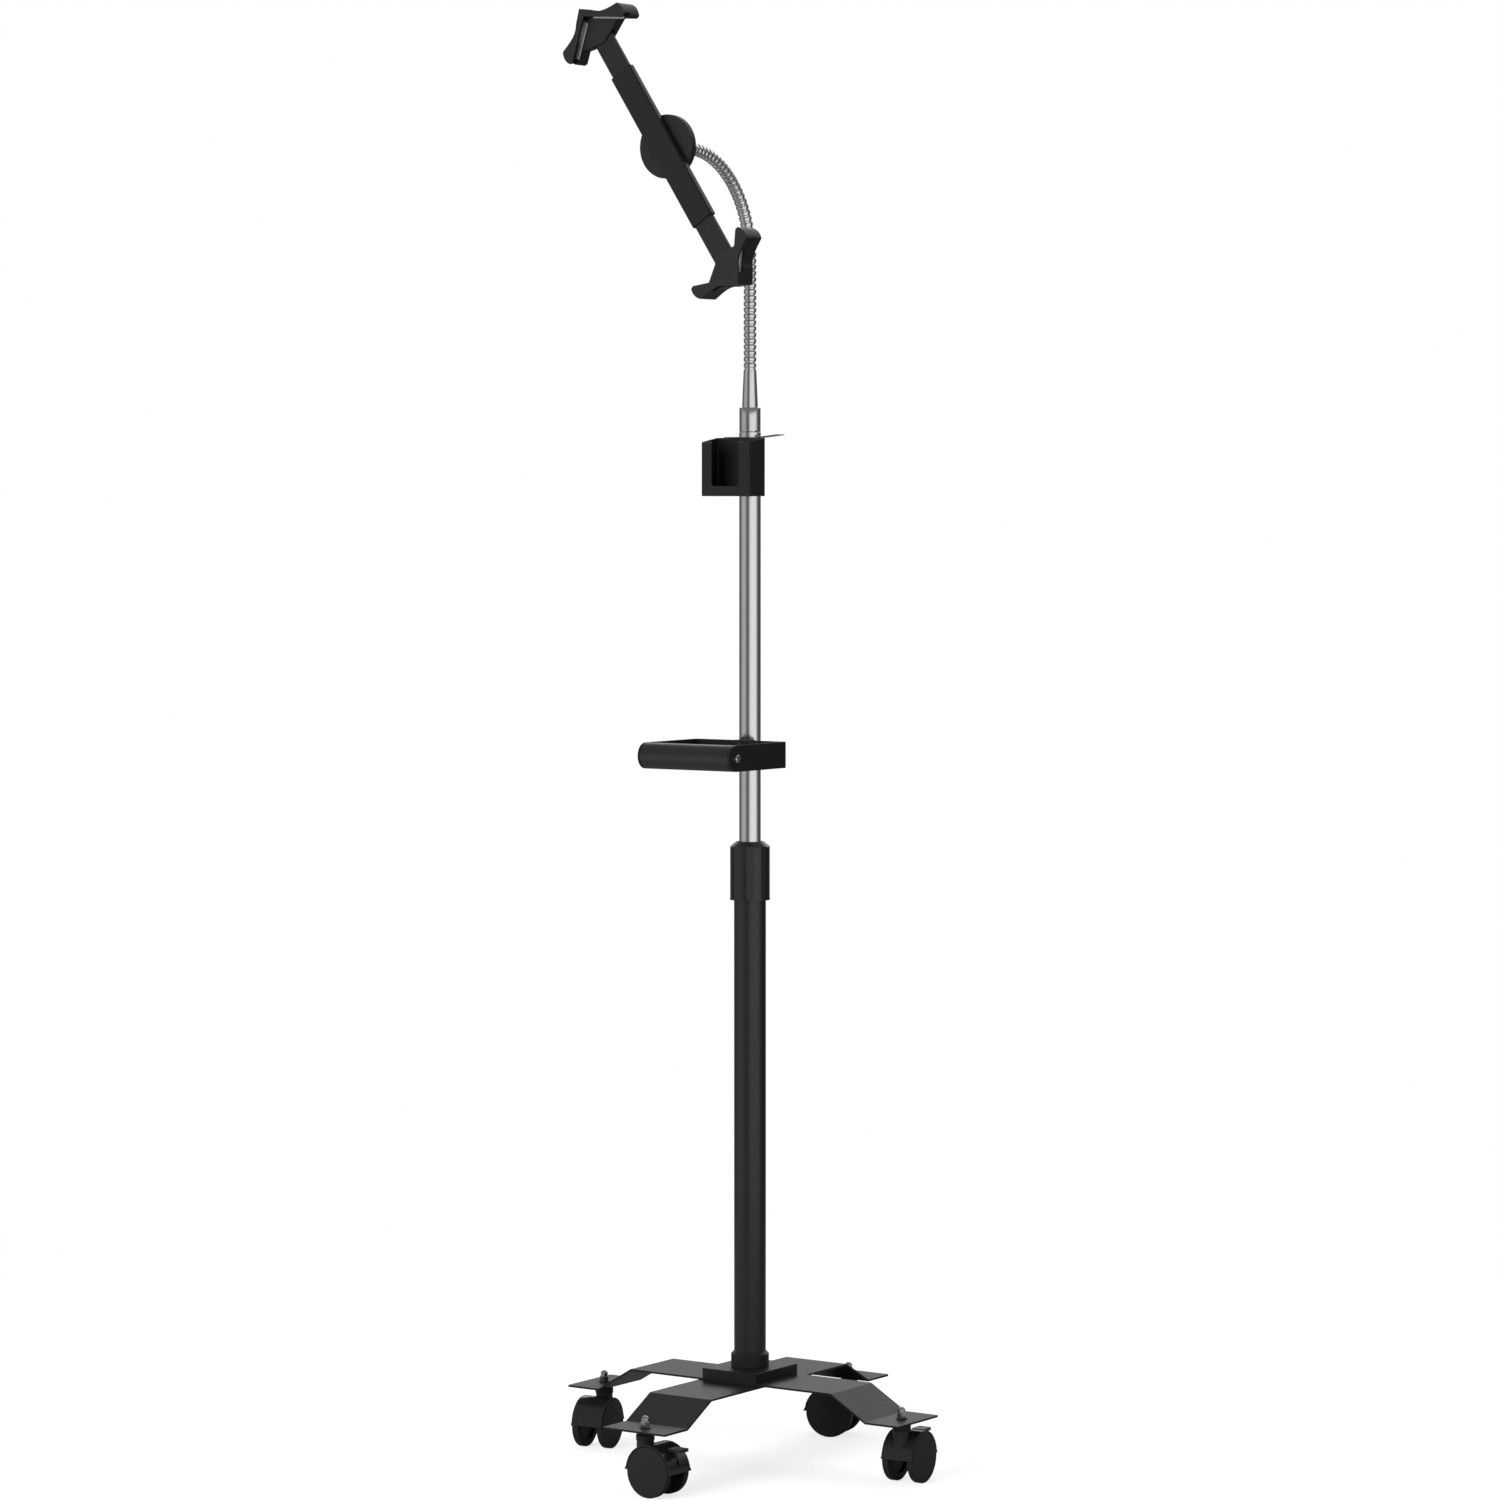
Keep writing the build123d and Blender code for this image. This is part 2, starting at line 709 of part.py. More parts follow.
neck_length = gooseneck_straight + gooseneck_bend * pi / 2 + 2 * gooseneck_radius
rib_count = int((neck_length - 2 * neck_end) / rib_pitch)
rib_step = (neck_length - 2 * neck_end) / rib_count
with BuildPart() as gooseneck:
    with BuildSketch(neck_plane(0)):
        Circle(gooseneck_radius - rib_depth)
    for rib in range(rib_count):
        for along, root in zip(rib_shares, rib_root_shares):
            with BuildSketch(neck_plane(neck_end + (rib + along) * rib_step)):
                Circle(gooseneck_radius - root * rib_depth)
    with BuildSketch(neck_plane(neck_length)):
        Circle(gooseneck_radius - rib_depth)
    loft(ruled=True)
    with BuildLine():
        rise = Line((0, 0, cone_top), (0, 0, bend_start))
        turned = RadiusArc(rise @ 1, (0, -gooseneck_bend, hub_height), gooseneck_bend)
        Line(turned @ 1, (0, -neck_face, hub_height))
    with BuildSketch(neck_plane(0)):
        Circle(gooseneck_bore)
    sweep(mode=Mode.SUBTRACT)
save(gooseneck.part, "gooseneck")
print("gooseneck length", round(neck_length, 1), "ribs", rib_count, "bend radius", gooseneck_bend)

# Ball joint, turned about the holder's axis. Points are (depth, radius).
holder_side = Plane(origin=(0, 0, hub_height), x_dir=(0, -1, 0), z_dir=(-1, 0, 0))
holder_axis = Axis((0, 0, hub_height), (0, -1, 0))
stud_mouth = gooseneck_bend
neck_meets_ball = ball_depth - sqrt(ball_radius**2 - stud_neck_radius**2)
with BuildPart() as ball_stud:
    with BuildSketch(holder_side):
        with BuildLine():
            Polyline(
                (ball_depth + ball_radius, 0),
                (neck_face, 0),
                (neck_face, gooseneck_radius + seat_fit),
                (stud_mouth, gooseneck_radius + seat_fit),
                (stud_mouth, stud_radius),
                (stud_face - stud_chamfer, stud_radius),
                (stud_face, stud_radius - stud_chamfer),
                (stud_face, stud_neck_radius),
                (neck_meets_ball, stud_neck_radius),
            )
            ThreePointArc(
                (neck_meets_ball, stud_neck_radius),
                (ball_depth, ball_radius),
                (ball_depth + ball_radius, 0),
            )
        make_face()
    revolve(axis=holder_axis)
save(ball_stud.part, "ball_stud")

seat_bore = ball_radius + run_fit
seat_inner_edge = sqrt(seat_bore**2 - seat_half**2)
seat_outer_edge = sqrt(seat_radius**2 - seat_half**2)
with BuildPart() as ball_seat:
    with BuildSketch(holder_side):
        with BuildLine():
            ThreePointArc(
                (ball_depth - seat_half, seat_inner_edge),
                (ball_depth, seat_bore),
                (ball_depth + seat_half, seat_inner_edge),
            )
            Line((ball_depth + seat_half, seat_inner_edge), (ball_depth + seat_half, seat_outer_edge))
            ThreePointArc(
                (ball_depth + seat_half, seat_outer_edge),
                (ball_depth, seat_radius),
                (ball_depth - seat_half, seat_outer_edge),
            )
            Line((ball_depth - seat_half, seat_outer_edge), (ball_depth - seat_half, seat_inner_edge))
        make_face()
    revolve(axis=holder_axis)
save(ball_seat.part, "ball_seat")

cup_bore = seat_radius + run_fit
cup_mouth = ball_depth - cup_rear
with BuildPart() as socket_cup:
    with BuildSketch(holder_side):
        with BuildLine():
            Polyline(
                (ball_depth + cup_bore, 0),
                (bar_back, 0),
                (bar_back, cup_flange_radius),
                (bar_back - cup_flange, cup_flange_radius),
                (bar_back - cup_flange, cup_radius),
                (cup_mouth, cup_radius),
                (cup_mouth, cup_bore),
                (ball_depth, cup_bore),
            )
            ThreePointArc(
                (ball_depth, cup_bore),
                (ball_depth + cup_bore * cos(pi / 4), cup_bore * sin(pi / 4)),
                (ball_depth + cup_bore, 0),
            )
        make_face()
    revolve(axis=holder_axis)
save(socket_cup.part, "socket_cup")

clamp_back = ball_depth - clamp_rear
clamp_front = hub_back - face_gap
clamp_lip_radius = sqrt((cup_bore + face_gap) ** 2 - (cup_rear + run_fit) ** 2)
with BuildPart() as clamp_nut:
    with BuildSketch(holder_side):
        with BuildLine():
            Polyline(
                (clamp_back, clamp_mouth_radius),
                (clamp_back, clamp_radius),
                (clamp_front, clamp_radius),
                (clamp_front, cup_radius + run_fit),
                (cup_mouth - run_fit, cup_radius + run_fit),
                (cup_mouth - run_fit, clamp_lip_radius),
                close=True,
            )
        make_face()
    revolve(axis=holder_axis)
    rims = clamp_nut.edges().filter_by(GeomType.CIRCLE).group_by(Axis.Y)
    fillet([rims[0].sort_by(SortBy.RADIUS)[-1], rims[-1].sort_by(SortBy.RADIUS)[-1]], stud_chamfer)
    with BuildSketch(facing(clamp_back - cut_over, 0, hub_height)):
        with PolarLocations(clamp_radius, clamp_grooves):
            Circle(clamp_groove_radius)
    extrude(amount=clamp_front - clamp_back + 2 * cut_over, mode=Mode.SUBTRACT)
save(clamp_nut.part, "clamp_nut")


# Hub shell behind the bar, turning on the cup
def on_bar(depth):
    """A plane that looks forward, with its X along the bar, down to the right."""
    return facing(depth, 0, hub_height, -bar_angle_deg)


with BuildPart() as hub_shell:
    with BuildSketch(on_bar(hub_back)):
        Circle(hub_radius)
        Circle(cup_radius + run_fit, mode=Mode.SUBTRACT)
    extrude(amount=hub_thickness)
    rear_rim = hub_shell.edges().filter_by(GeomType.CIRCLE).group_by(Axis.Y)[-1].sort_by(SortBy.RADIUS)[-1]
    fillet(rear_rim, hub_round)
    with BuildSketch(on_bar(bar_back - cup_flange - run_fit)):
        Circle(cup_flange_radius + run_fit)
    extrude(amount=cup_flange + run_fit, mode=Mode.SUBTRACT)
    with BuildSketch(on_bar(hub_back)):
        with GridLocations(hub_screw_along, hub_screw_across, 2, 2):
            Circle(hub_screw_radius + seat_fit)
    extrude(amount=hub_thickness, mode=Mode.SUBTRACT)
save(hub_shell.part, "hub_shell")

with BuildPart() as hub_screws:
    with BuildSketch(on_bar(hub_back - hub_screw_head_height)):
        with GridLocations(hub_screw_along, hub_screw_across, 2, 2):
            Circle(hub_screw_head)
    extrude(amount=hub_screw_head_height)
    fillet(hub_screws.edges().group_by(Axis.Y)[-1], hub_screw_head_height / 2)
    with BuildSketch(on_bar(hub_back)):
        with GridLocations(hub_screw_along, hub_screw_across, 2, 2):
            Circle(hub_screw_radius)
    extrude(amount=hub_thickness + bar_wall - run_fit)
save(hub_screws.part, "hub_screws")

# Diagonal bar, a flat tube, and the two sliders in it
bar_slope = radians(bar_angle_deg)
bar_direction = Vector(cos(bar_slope), 0, -sin(bar_slope))
bar_across = Vector(sin(bar_slope), 0, cos(bar_slope))
bar_middle = (bar_back + bar_front) / 2
slider_thickness = bar_thickness - 2 * bar_wall - 2 * face_gap
slider_width = bar_width - 2 * bar_wall - 2 * face_gap
slider_back = bar_middle - slider_thickness / 2


def bar_section(along):
    """The plane square to the bar, at a distance from the hub's axis along it."""
    middle = Vector(0, -bar_middle, hub_height) + bar_direction * along
    return Plane(origin=middle, x_dir=bar_across, z_dir=bar_direction)


with BuildPart() as diagonal_bar:
    with BuildSketch(bar_section(-bar_half)):
        RectangleRounded(bar_width, bar_thickness, bar_round)
        RectangleRounded(
            bar_width - 2 * bar_wall, bar_thickness - 2 * bar_wall, slider_round, mode=Mode.SUBTRACT
        )
    extrude(amount=2 * bar_half)
    with BuildSketch(on_bar(bar_back)):
        with GridLocations(hub_screw_along, hub_screw_across, 2, 2):
            Circle(hub_screw_radius + seat_fit)
        with Locations((-lock_at, 0), (lock_at, 0)):
            Circle(lock_radius + run_fit)
    extrude(amount=bar_wall, mode=Mode.SUBTRACT)
save(diagonal_bar.part, "diagonal_bar")

for side, end in grip_ends.items():
    pivot_at = pivot_reach[side]
    with BuildPart() as slider:
        with BuildSketch(on_bar(slider_back)):
            with Locations((end * (pivot_at - slider_length / 2), 0)):
                Rectangle(slider_length, slider_width)
            with Locations((end * pivot_at, 0)):
                Circle(slider_width / 2)
        extrude(amount=slider_thickness)
        fillet(slider.faces().filter_by(Axis.Y).edges(), slider_round)
        with BuildSketch(on_bar(slider_back)):
            with Locations((end * pivot_at, 0)):
                Circle(pivot_radius + run_fit)
        extrude(amount=slider_thickness, mode=Mode.SUBTRACT)
    save(slider.part, f"slider_{side}")

    with BuildPart() as lock_screw:
        with BuildSketch(on_bar(bar_back - face_gap - lock_knob_height)):
            with Locations((end * lock_at, 0)):
                Circle(lock_knob_radius)
        extrude(amount=lock_knob_height)
        knob_back = lock_screw.edges().group_by(Axis.Y)[-1]
        chamfer(knob_back, lock_groove_radius)
        with BuildSketch(on_bar(bar_back - face_gap - lock_knob_height)):
            with Locations((end * lock_at, 0)):
                with PolarLocations(lock_knob_radius, lock_grooves):
                    Circle(lock_groove_radius)
        extrude(amount=lock_knob_height, mode=Mode.SUBTRACT)
        with BuildSketch(on_bar(bar_back - face_gap)):
            with Locations((end * lock_at, 0)):
                Circle(lock_radius)
        extrude(amount=slider_back - bar_back + face_gap)
    save(lock_screw.part, f"lock_screw_{side}")

# Corner grips. Points along an arm are (along its inner edge, outward), and the second arm mirrors
# the first in the corner's diagonal.
flare = radians(flare_deg)


def on_arm(along, out):
    return (along * sin(flare) + out * cos(flare), along * cos(flare) - out * sin(flare))


def mirrored(point):
    return (-point[1], -point[0])


def grip_plane(side, depth):
    """A plane that looks forward, with a grip's own origin and turn."""
    turn = grip_turn_deg[side]
    out = radians(turn) - pi / 4
    pivot = bar_direction * grip_ends[side] * pivot_reach[side]
    x = pivot.X + pivot_back * cos(out)
    z = hub_height + pivot.Z + pivot_back * sin(out)
    return facing(depth, x, z, turn)


def along_arm(out):
    """Where the line at a distance outside an arm's inner edge crosses the corner's diagonal."""
    return out * (sin(flare) - cos(flare)) / (sin(flare) + cos(flare))


arm_points = [
    on_arm(arm_length * arm_start_share, (waist + corner_out) / 2),
    on_arm(arm_length * waist_at_share, waist),
    on_arm(arm_length * rise_at_share, lobe_out * rise_out_share),
    on_arm(arm_length * lobe_at_share, lobe_out),
]
arm_tip = on_arm(arm_length * tip_at_share, lobe_out * tip_out_share)
arm_end = on_arm(arm_length, corner_round)
arm_inner = on_arm(arm_length - corner_round, 0)
corner_point = on_arm(along_arm(corner_out), corner_out)


def grip_outline():
    """The grip's outline, as seen from the front: two waisted arms with round lobes at their ends."""
    with BuildLine() as outline:
        for turn in (lambda point: point, mirrored):
            Line(turn(corner_point), turn(arm_points[0]))
            Spline(*[turn(point) for point in arm_points])
            ThreePointArc(turn(arm_points[-1]), turn(arm_tip), turn(arm_end))
            Line(turn(arm_end), turn(arm_inner))
            Line(turn(arm_inner), (0, 0))
    return outline.line


grip_line = grip_outline()
window_start, window_end = (arm_length * share for share in post_window_share)

for side in grip_ends:
    with BuildPart() as grip_lip:
        with BuildSketch(grip_plane(side, lip_back)):
            with BuildLine():
                add(grip_line)
            make_face()
        extrude(amount=lip_thickness)
        with BuildSketch(grip_plane(side, bar_front)):
            with BuildLine():
                add(grip_line)
            make_face()
            with BuildLine():
                Polyline(
                    on_arm(along_arm(slot_wall), slot_wall),
                    on_arm(2 * arm_length, slot_wall),
                    (-2 * arm_length, 2 * arm_length),
                    mirrored(on_arm(2 * arm_length, slot_wall)),
                    close=True,
                )
            make_face(mode=Mode.SUBTRACT)
            for turn in (lambda point: point, mirrored):
                with BuildLine():
                    Polyline(
                        turn(on_arm(window_start, 0)),
                        turn(on_arm(window_start, 2 * lobe_out)),
                        turn(on_arm(window_end, 2 * lobe_out)),
                        turn(on_arm(window_end, 0)),
                        close=True,
                    )
                make_face(mode=Mode.SUBTRACT)
        extrude(amount=slot_gap)
    save(grip_lip.part, f"grip_lip_{side}")

    pivot = (-pivot_back * sin(pi / 4), pivot_back * sin(pi / 4))
    with BuildPart() as grip_body:
        with BuildSketch(grip_plane(side, grip_back)):
            with BuildLine():
                add(grip_line)
            make_face()
        extrude(amount=bar_front - grip_back)
        with BuildSketch(grip_plane(side, bar_back - web_back)):
            with Locations(pivot):
                Circle(pivot_boss)
            with Locations(on_arm(arm_length * web_arm_share, web_end_radius), (0, 0),
                           mirrored(on_arm(arm_length * web_arm_share, web_end_radius))):
                Circle(web_end_radius)
            make_hull()
        extrude(amount=bar_thickness + web_back)
        with BuildSketch(grip_plane(side, slider_back - face_gap)):
            inward = Vector(-sin(pi / 4), sin(pi / 4))
            sideways = Vector(sin(pi / 4), sin(pi / 4))
            pocket_half = slider_width / 2 + free_gap
            pocket_mouth = pocket_half + 2 * pivot_boss * sin(radians(swing_deg))
            middle = Vector(*pivot)
            with Locations(pivot):
                Circle(pocket_half)
            with BuildLine():
                Polyline(
                    middle + sideways * pocket_half,
                    middle + inward * 2 * pivot_boss + sideways * pocket_mouth,
                    middle + inward * 2 * pivot_boss - sideways * pocket_mouth,
                    middle - sideways * pocket_half,
                    close=True,
                )
            make_face()
        extrude(amount=slider_thickness + 2 * face_gap, mode=Mode.SUBTRACT)
        with BuildSketch(grip_plane(side, bar_back - web_back)):
            with Locations(pivot):
                Circle(pivot_radius + seat_fit)
        extrude(amount=bar_thickness + web_back - bar_wall / 2, mode=Mode.SUBTRACT)
    save(grip_body.part, f"grip_body_{side}")

    with BuildPart() as grip_pin:
        with BuildSketch(grip_plane(side, bar_back - web_back)):
            with Locations(pivot):
                Circle(pivot_radius)
        extrude(amount=bar_thickness + web_back - bar_wall / 2 - run_fit)
        with BuildSketch(grip_plane(side, bar_back - web_back - pivot_head_height)):
            with Locations(pivot):
                Circle(pivot_head)
        extrude(amount=pivot_head_height)
        fillet(grip_pin.edges().group_by(Axis.Y)[-1], pivot_head_height / 2)
    save(grip_pin.part, f"grip_pin_{side}")

    with BuildPart() as grip_pads:
        with BuildSketch(grip_plane(side, bar_front)):
            for turn in (lambda point: point, mirrored):
                with BuildLine():
                    Polyline(
                        turn(on_arm(arm_length * pad_start_share, slot_wall - pad_thickness)),
                        turn(on_arm(arm_length * pad_end_share, slot_wall - pad_thickness)),
                        turn(on_arm(arm_length * pad_end_share, slot_wall - pad_thickness - pad_width)),
                        turn(on_arm(arm_length * pad_start_share, slot_wall - pad_thickness - pad_width)),
                        close=True,
                    )
                make_face()
        extrude(amount=pad_thickness)
    save(grip_pads.part, f"grip_pads_{side}")

# Castor stems: one piece each, held in the foot by its cap nut
stem_turns = [radians(leg_deg) for _, leg_deg, _ in caster_parking]
stem_spots = [(stem_reach * cos(leg), stem_reach * sin(leg)) for leg in stem_turns]
stem_above = race_height + spacer_height + strip_thickness + stem_washer_height + nut_hex_height
with BuildPart() as caster_stems:
    with BuildSketch(level(race_bottom)):
        with Locations(*stem_spots):
            Circle(race_radius)
    extrude(amount=race_height)
    fillet(caster_stems.edges().group_by(Axis.Z)[-1], race_height / 6)
    with BuildSketch(level(race_bottom + race_height)):
        with Locations(*stem_spots):
            Circle(spacer_radius)
    extrude(amount=spacer_height)
    with BuildSketch(level(race_bottom - stem_depth)):
        with Locations(*stem_spots):
            Circle(stem_radius)
    extrude(amount=stem_depth + stem_above)
save(caster_stems.part, "caster_stems")

nut_base = foot_top + stem_washer_height
with BuildPart() as stem_nuts:
    with BuildSketch(level(nut_base)):
        with Locations(*stem_spots):
            RegularPolygon(nut_width / 2, 6, major_radius=False)
    extrude(amount=nut_hex_height)
    with BuildSketch(level(nut_base + nut_hex_height)):
        with Locations(*stem_spots):
            Circle(nut_dome_radius)
    extrude(amount=nut_height - nut_hex_height)
    fillet(stem_nuts.edges().group_by(Axis.Z)[-1], nut_dome_round)
    with BuildSketch(level(nut_base)):
        with Locations(*stem_spots):
            Circle(stem_radius + seat_fit)
    extrude(amount=nut_hex_height + seat_fit, mode=Mode.SUBTRACT)
save(stem_nuts.part, "stem_nuts")

with BuildPart() as stem_washers:
    with BuildSketch(level(foot_top)):
        with Locations(*stem_spots):
            Circle(stem_washer_radius)
            Circle(stem_radius + seat_fit, mode=Mode.SUBTRACT)
    extrude(amount=stem_washer_height)
save(stem_washers.part, "stem_washers")


# One castor, modelled with its stem's axis at the origin and heading along X, then set out four times
hood_half = wheel_gap / 2 + wheel_thickness - hood_side
wheel_inner = wheel_gap / 2
wheel_outer = wheel_inner + wheel_thickness
slot_half = lever_tongue_width / 2 + face_gap


def beside(along=0.0):
    """A plane square to the castor's axle and centred on it, with X ahead and Y up."""
    return Plane(origin=(trail, along, wheel_radius), x_dir=(1, 0, 0), z_dir=(0, -1, 0))


def caster_hood(has_brake):
    start = radians(hood_start_deg)
    tip_x = hood_outer * cos(start)
    tip_y = hood_outer * sin(start)
    with BuildPart() as hood:
        with BuildSketch(beside()):
            Circle(hood_outer)
            Circle(hood_outer - hood_wall, mode=Mode.SUBTRACT)
            with Locations((0, tip_y - hood_outer)):
                Rectangle(3 * hood_outer, 2 * hood_outer, mode=Mode.SUBTRACT)
            for end in (-1, 1):
                with BuildLine():
                    Polyline(
                        (end * (tip_x - hood_wall), tip_y),
                        (end * (tip_x + hood_tip), tip_y),
                        (end * (tip_x - hood_wall / 2), tip_y + 2 * hood_tip + hood_wall),
                        close=True,
                    )
                make_face()
        extrude(amount=hood_half, both=True)
        with BuildSketch(beside()):
            Circle(hood_outer - hood_wall / 2)
            with Locations((0, -hood_outer)):
                Rectangle(2 * hood_outer, 2 * hood_outer, mode=Mode.SUBTRACT)
            Circle(2 * axle_radius)
        extrude(amount=hood_web / 2, both=True)
        with BuildSketch(level(race_bottom - face_gap)):
            Circle(neck_radius)
        extrude(amount=-neck_drop)
        for end in (-1, 1):
            with BuildSketch(beside(-end * (wheel_inner - free_gap))):
                Circle(wheel_radius + free_gap)
            extrude(amount=end * neck_radius, mode=Mode.SUBTRACT)
        with BuildSketch(level(race_bottom)):
            Circle(stem_radius + run_fit)
        extrude(amount=-stem_depth - face_gap, mode=Mode.SUBTRACT)
        with BuildSketch(beside()):
            Circle(axle_radius + seat_fit)
        extrude(amount=hood_web, both=True, mode=Mode.SUBTRACT)
        if has_brake:
            slot_start = lever_back - trail - free_gap
            slot_end = hood_outer + hood_tip + cut_over
            slot_floor = lever_pin_rise - lever_tongue / 2 - free_gap
            with BuildSketch(beside()):
                with BuildLine():
                    Polyline(
                        (slot_start, slot_floor),
                        (slot_end, slot_floor),
                        (slot_end, hood_outer),
                        (slot_start, hood_outer),
                        close=True,
                    )
                make_face()
            extrude(amount=slot_half, both=True, mode=Mode.SUBTRACT)
            with BuildSketch(beside()):
                with Locations((lever_pin_at - trail, lever_pin_rise)):
                    Circle(lever_pin_radius + run_fit)
            extrude(amount=hood_web, both=True, mode=Mode.SUBTRACT)
    return hood.part


def caster_axle():
    with BuildPart() as axle:
        with BuildSketch(beside()):
            Circle(axle_radius)
        extrude(amount=wheel_outer - axle_cap, both=True)
    return axle.part


def caster_wheels():
    """Two wheels: a boss on each hollow inner face, a rounded tread and a slightly domed outer face."""
    boss_face = hood_web / 2 + face_gap
    recess_floor = wheel_inner + wheel_recess_depth
    dome_edge = wheel_outer - wheel_dome
    shoulder = wheel_radius - wheel_round
    with BuildPart() as wheels:
        with BuildSketch(Plane(origin=(trail, 0, wheel_radius), x_dir=(0, 1, 0), z_dir=(1, 0, 0))):
            with BuildLine():
                Polyline(
                    (wheel_outer, 0),
                    (boss_face, 0),
                    (boss_face, wheel_boss_radius),
                    (recess_floor, wheel_boss_radius),
                    (recess_floor, wheel_recess_radius),
                    (wheel_inner, wheel_recess_radius),
                    (wheel_inner, shoulder),
                )
                RadiusArc((wheel_inner, shoulder), (wheel_inner + wheel_round, wheel_radius), wheel_round)
                Line((wheel_inner + wheel_round, wheel_radius), (dome_edge - wheel_round, wheel_radius))
                RadiusArc((dome_edge - wheel_round, wheel_radius), (dome_edge, shoulder), wheel_round)
                crown = ThreePointArc(
                    (dome_edge, shoulder),
                    (wheel_outer - wheel_dome / 4, shoulder / 2),
                    (wheel_outer, wheel_cap_radius),
                )
                Line(crown @ 1, (wheel_outer, 0))
            make_face()
        revolve(axis=Axis((trail, 0, wheel_radius), (0, 1, 0)))
        with BuildSketch(beside()):
            Circle(axle_radius + run_fit)
        extrude(amount=-(wheel_outer - axle_cap + face_gap), mode=Mode.SUBTRACT)
        mirror(about=Plane.XZ)
    return wheels.part


def brake_lever():
    """A flat pedal on a tongue that drops into the hood's slot, with a trunnion on each side."""
    with BuildPart() as lever:
        with BuildSketch(beside()):
            with Locations((lever_back + lever_length / 2 - trail, lever_rise + lever_thickness / 2)):
                Rectangle(lever_length, lever_thickness)
        extrude(amount=lever_width / 2, both=True)
        fillet(lever.edges().filter_by(Axis.Z), lever_thickness / 2)
        with BuildSketch(beside()):
            with Locations((lever_pin_at - trail, (lever_pin_rise + lever_rise + lever_thickness) / 2)):
                Rectangle(lever_tongue, lever_rise + lever_thickness - lever_pin_rise)
            with Locations((lever_pin_at - trail, lever_pin_rise)):
                Circle(lever_tongue / 2)
        extrude(amount=lever_tongue_width / 2, both=True)
        with BuildSketch(beside()):
            with Locations((lever_pin_at - trail, lever_pin_rise)):
                Circle(lever_pin_radius)
        extrude(amount=hood_web / 2, both=True)
    return lever.part


caster_pieces = {"axle": caster_axle(), "wheels": caster_wheels()}
hood_plain = caster_hood(False)
hood_braked = caster_hood(True)
lever_piece = brake_lever()

for name, leg_deg, parked_deg in caster_parking:
    leg = radians(leg_deg)
    heading = radians(leg_deg + 90 + parked_deg)
    place = Plane(
        origin=(stem_reach * cos(leg), stem_reach * sin(leg), 0),
        x_dir=(cos(heading), sin(heading), 0),
        z_dir=(0, 0, 1),
    )
    pieces = dict(caster_pieces, hood=hood_braked if name in braked else hood_plain)
    if name in braked:
        pieces["brake_lever"] = lever_piece
    for kind, piece in pieces.items():
        save(place.location * piece, f"{kind}_{name}")
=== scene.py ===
# %% [markdown]
# # A tablet floor stand, dressed for a photograph
# The stand has four casters under two crossed strips, a two-part pole, a push handle, an open box, a
# ribbed gooseneck and a holder with two corner grips. Its solids are exact already, so the work here
# is edges, finishes and light. This cell loads the solids, and a helper measures the box of one of
# them.

# %% Load the stand
import json
import bpy
from math import cos, pi, radians, sin
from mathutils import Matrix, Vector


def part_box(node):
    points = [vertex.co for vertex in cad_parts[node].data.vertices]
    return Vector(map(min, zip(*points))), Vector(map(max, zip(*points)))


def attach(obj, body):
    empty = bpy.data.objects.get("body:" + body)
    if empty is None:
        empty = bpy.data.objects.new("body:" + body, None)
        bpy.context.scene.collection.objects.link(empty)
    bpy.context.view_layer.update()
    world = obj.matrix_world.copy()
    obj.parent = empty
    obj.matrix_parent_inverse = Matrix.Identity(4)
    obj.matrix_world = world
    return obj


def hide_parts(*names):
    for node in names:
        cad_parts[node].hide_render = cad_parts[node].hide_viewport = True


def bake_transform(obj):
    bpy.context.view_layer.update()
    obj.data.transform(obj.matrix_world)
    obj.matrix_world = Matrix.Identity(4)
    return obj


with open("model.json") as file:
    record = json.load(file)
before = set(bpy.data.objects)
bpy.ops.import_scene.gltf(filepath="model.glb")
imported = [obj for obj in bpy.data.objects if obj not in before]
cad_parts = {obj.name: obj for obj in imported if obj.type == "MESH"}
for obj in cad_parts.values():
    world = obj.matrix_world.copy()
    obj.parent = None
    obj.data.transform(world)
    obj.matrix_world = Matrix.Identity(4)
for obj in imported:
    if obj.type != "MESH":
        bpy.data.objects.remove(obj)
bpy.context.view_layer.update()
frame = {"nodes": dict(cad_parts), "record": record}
MM = 0.001
body_of_node = {
    node: body
    for body, nodes in frame["record"]["behaviour"]["bodies"].items()
    for node in nodes
}
slot_of_node = {part["node"]: part["material_slot"] for part in frame["record"]["subparts"]}

# %% [markdown]
# ## The camera
# The photograph was taken from the front and to the right, a little below the holder, with a long
# lens. A long lens keeps the pole's sides parallel. The place and the lens were fitted to the pole
# and the strips' edges, so the render can be laid over the photograph.

# %% Camera
VIEW_TURN = radians(34.353)
VIEW_DOWN = radians(3.052)
VIEW_DISTANCE = 4.9814
VIEW_HEIGHT = 0.9867
SENSOR_WIDTH = 36
LENS = 119.56
FAR_ENOUGH = 50
bpy.ops.object.camera_add(
    location=(VIEW_DISTANCE * sin(VIEW_TURN), -VIEW_DISTANCE * cos(VIEW_TURN), VIEW_HEIGHT),
    rotation=(pi / 2 - VIEW_DOWN, 0, VIEW_TURN),
)
camera = bpy.context.object
camera.data.sensor_width = SENSOR_WIDTH
camera.data.lens = LENS
camera.data.clip_end = FAR_ENOUGH
bpy.context.scene.camera = camera
bpy.context.scene.view_settings.view_transform = "Standard"
print("camera at", tuple(round(value, 3) for value in camera.location))

# %% [markdown]
# ## Helpers for materials
# Colours are written as they look on screen, in hex, and turned to linear light in one place. Every
# material is a small tree of nodes, so one function adds a node with its settings and its links.
# A Mix node has sockets of the same name for each kind of value, so its colours go by number.

# %% Colours and nodes
FIRST_COLOUR, SECOND_COLOUR, MIXED_COLOUR = 6, 7, 2


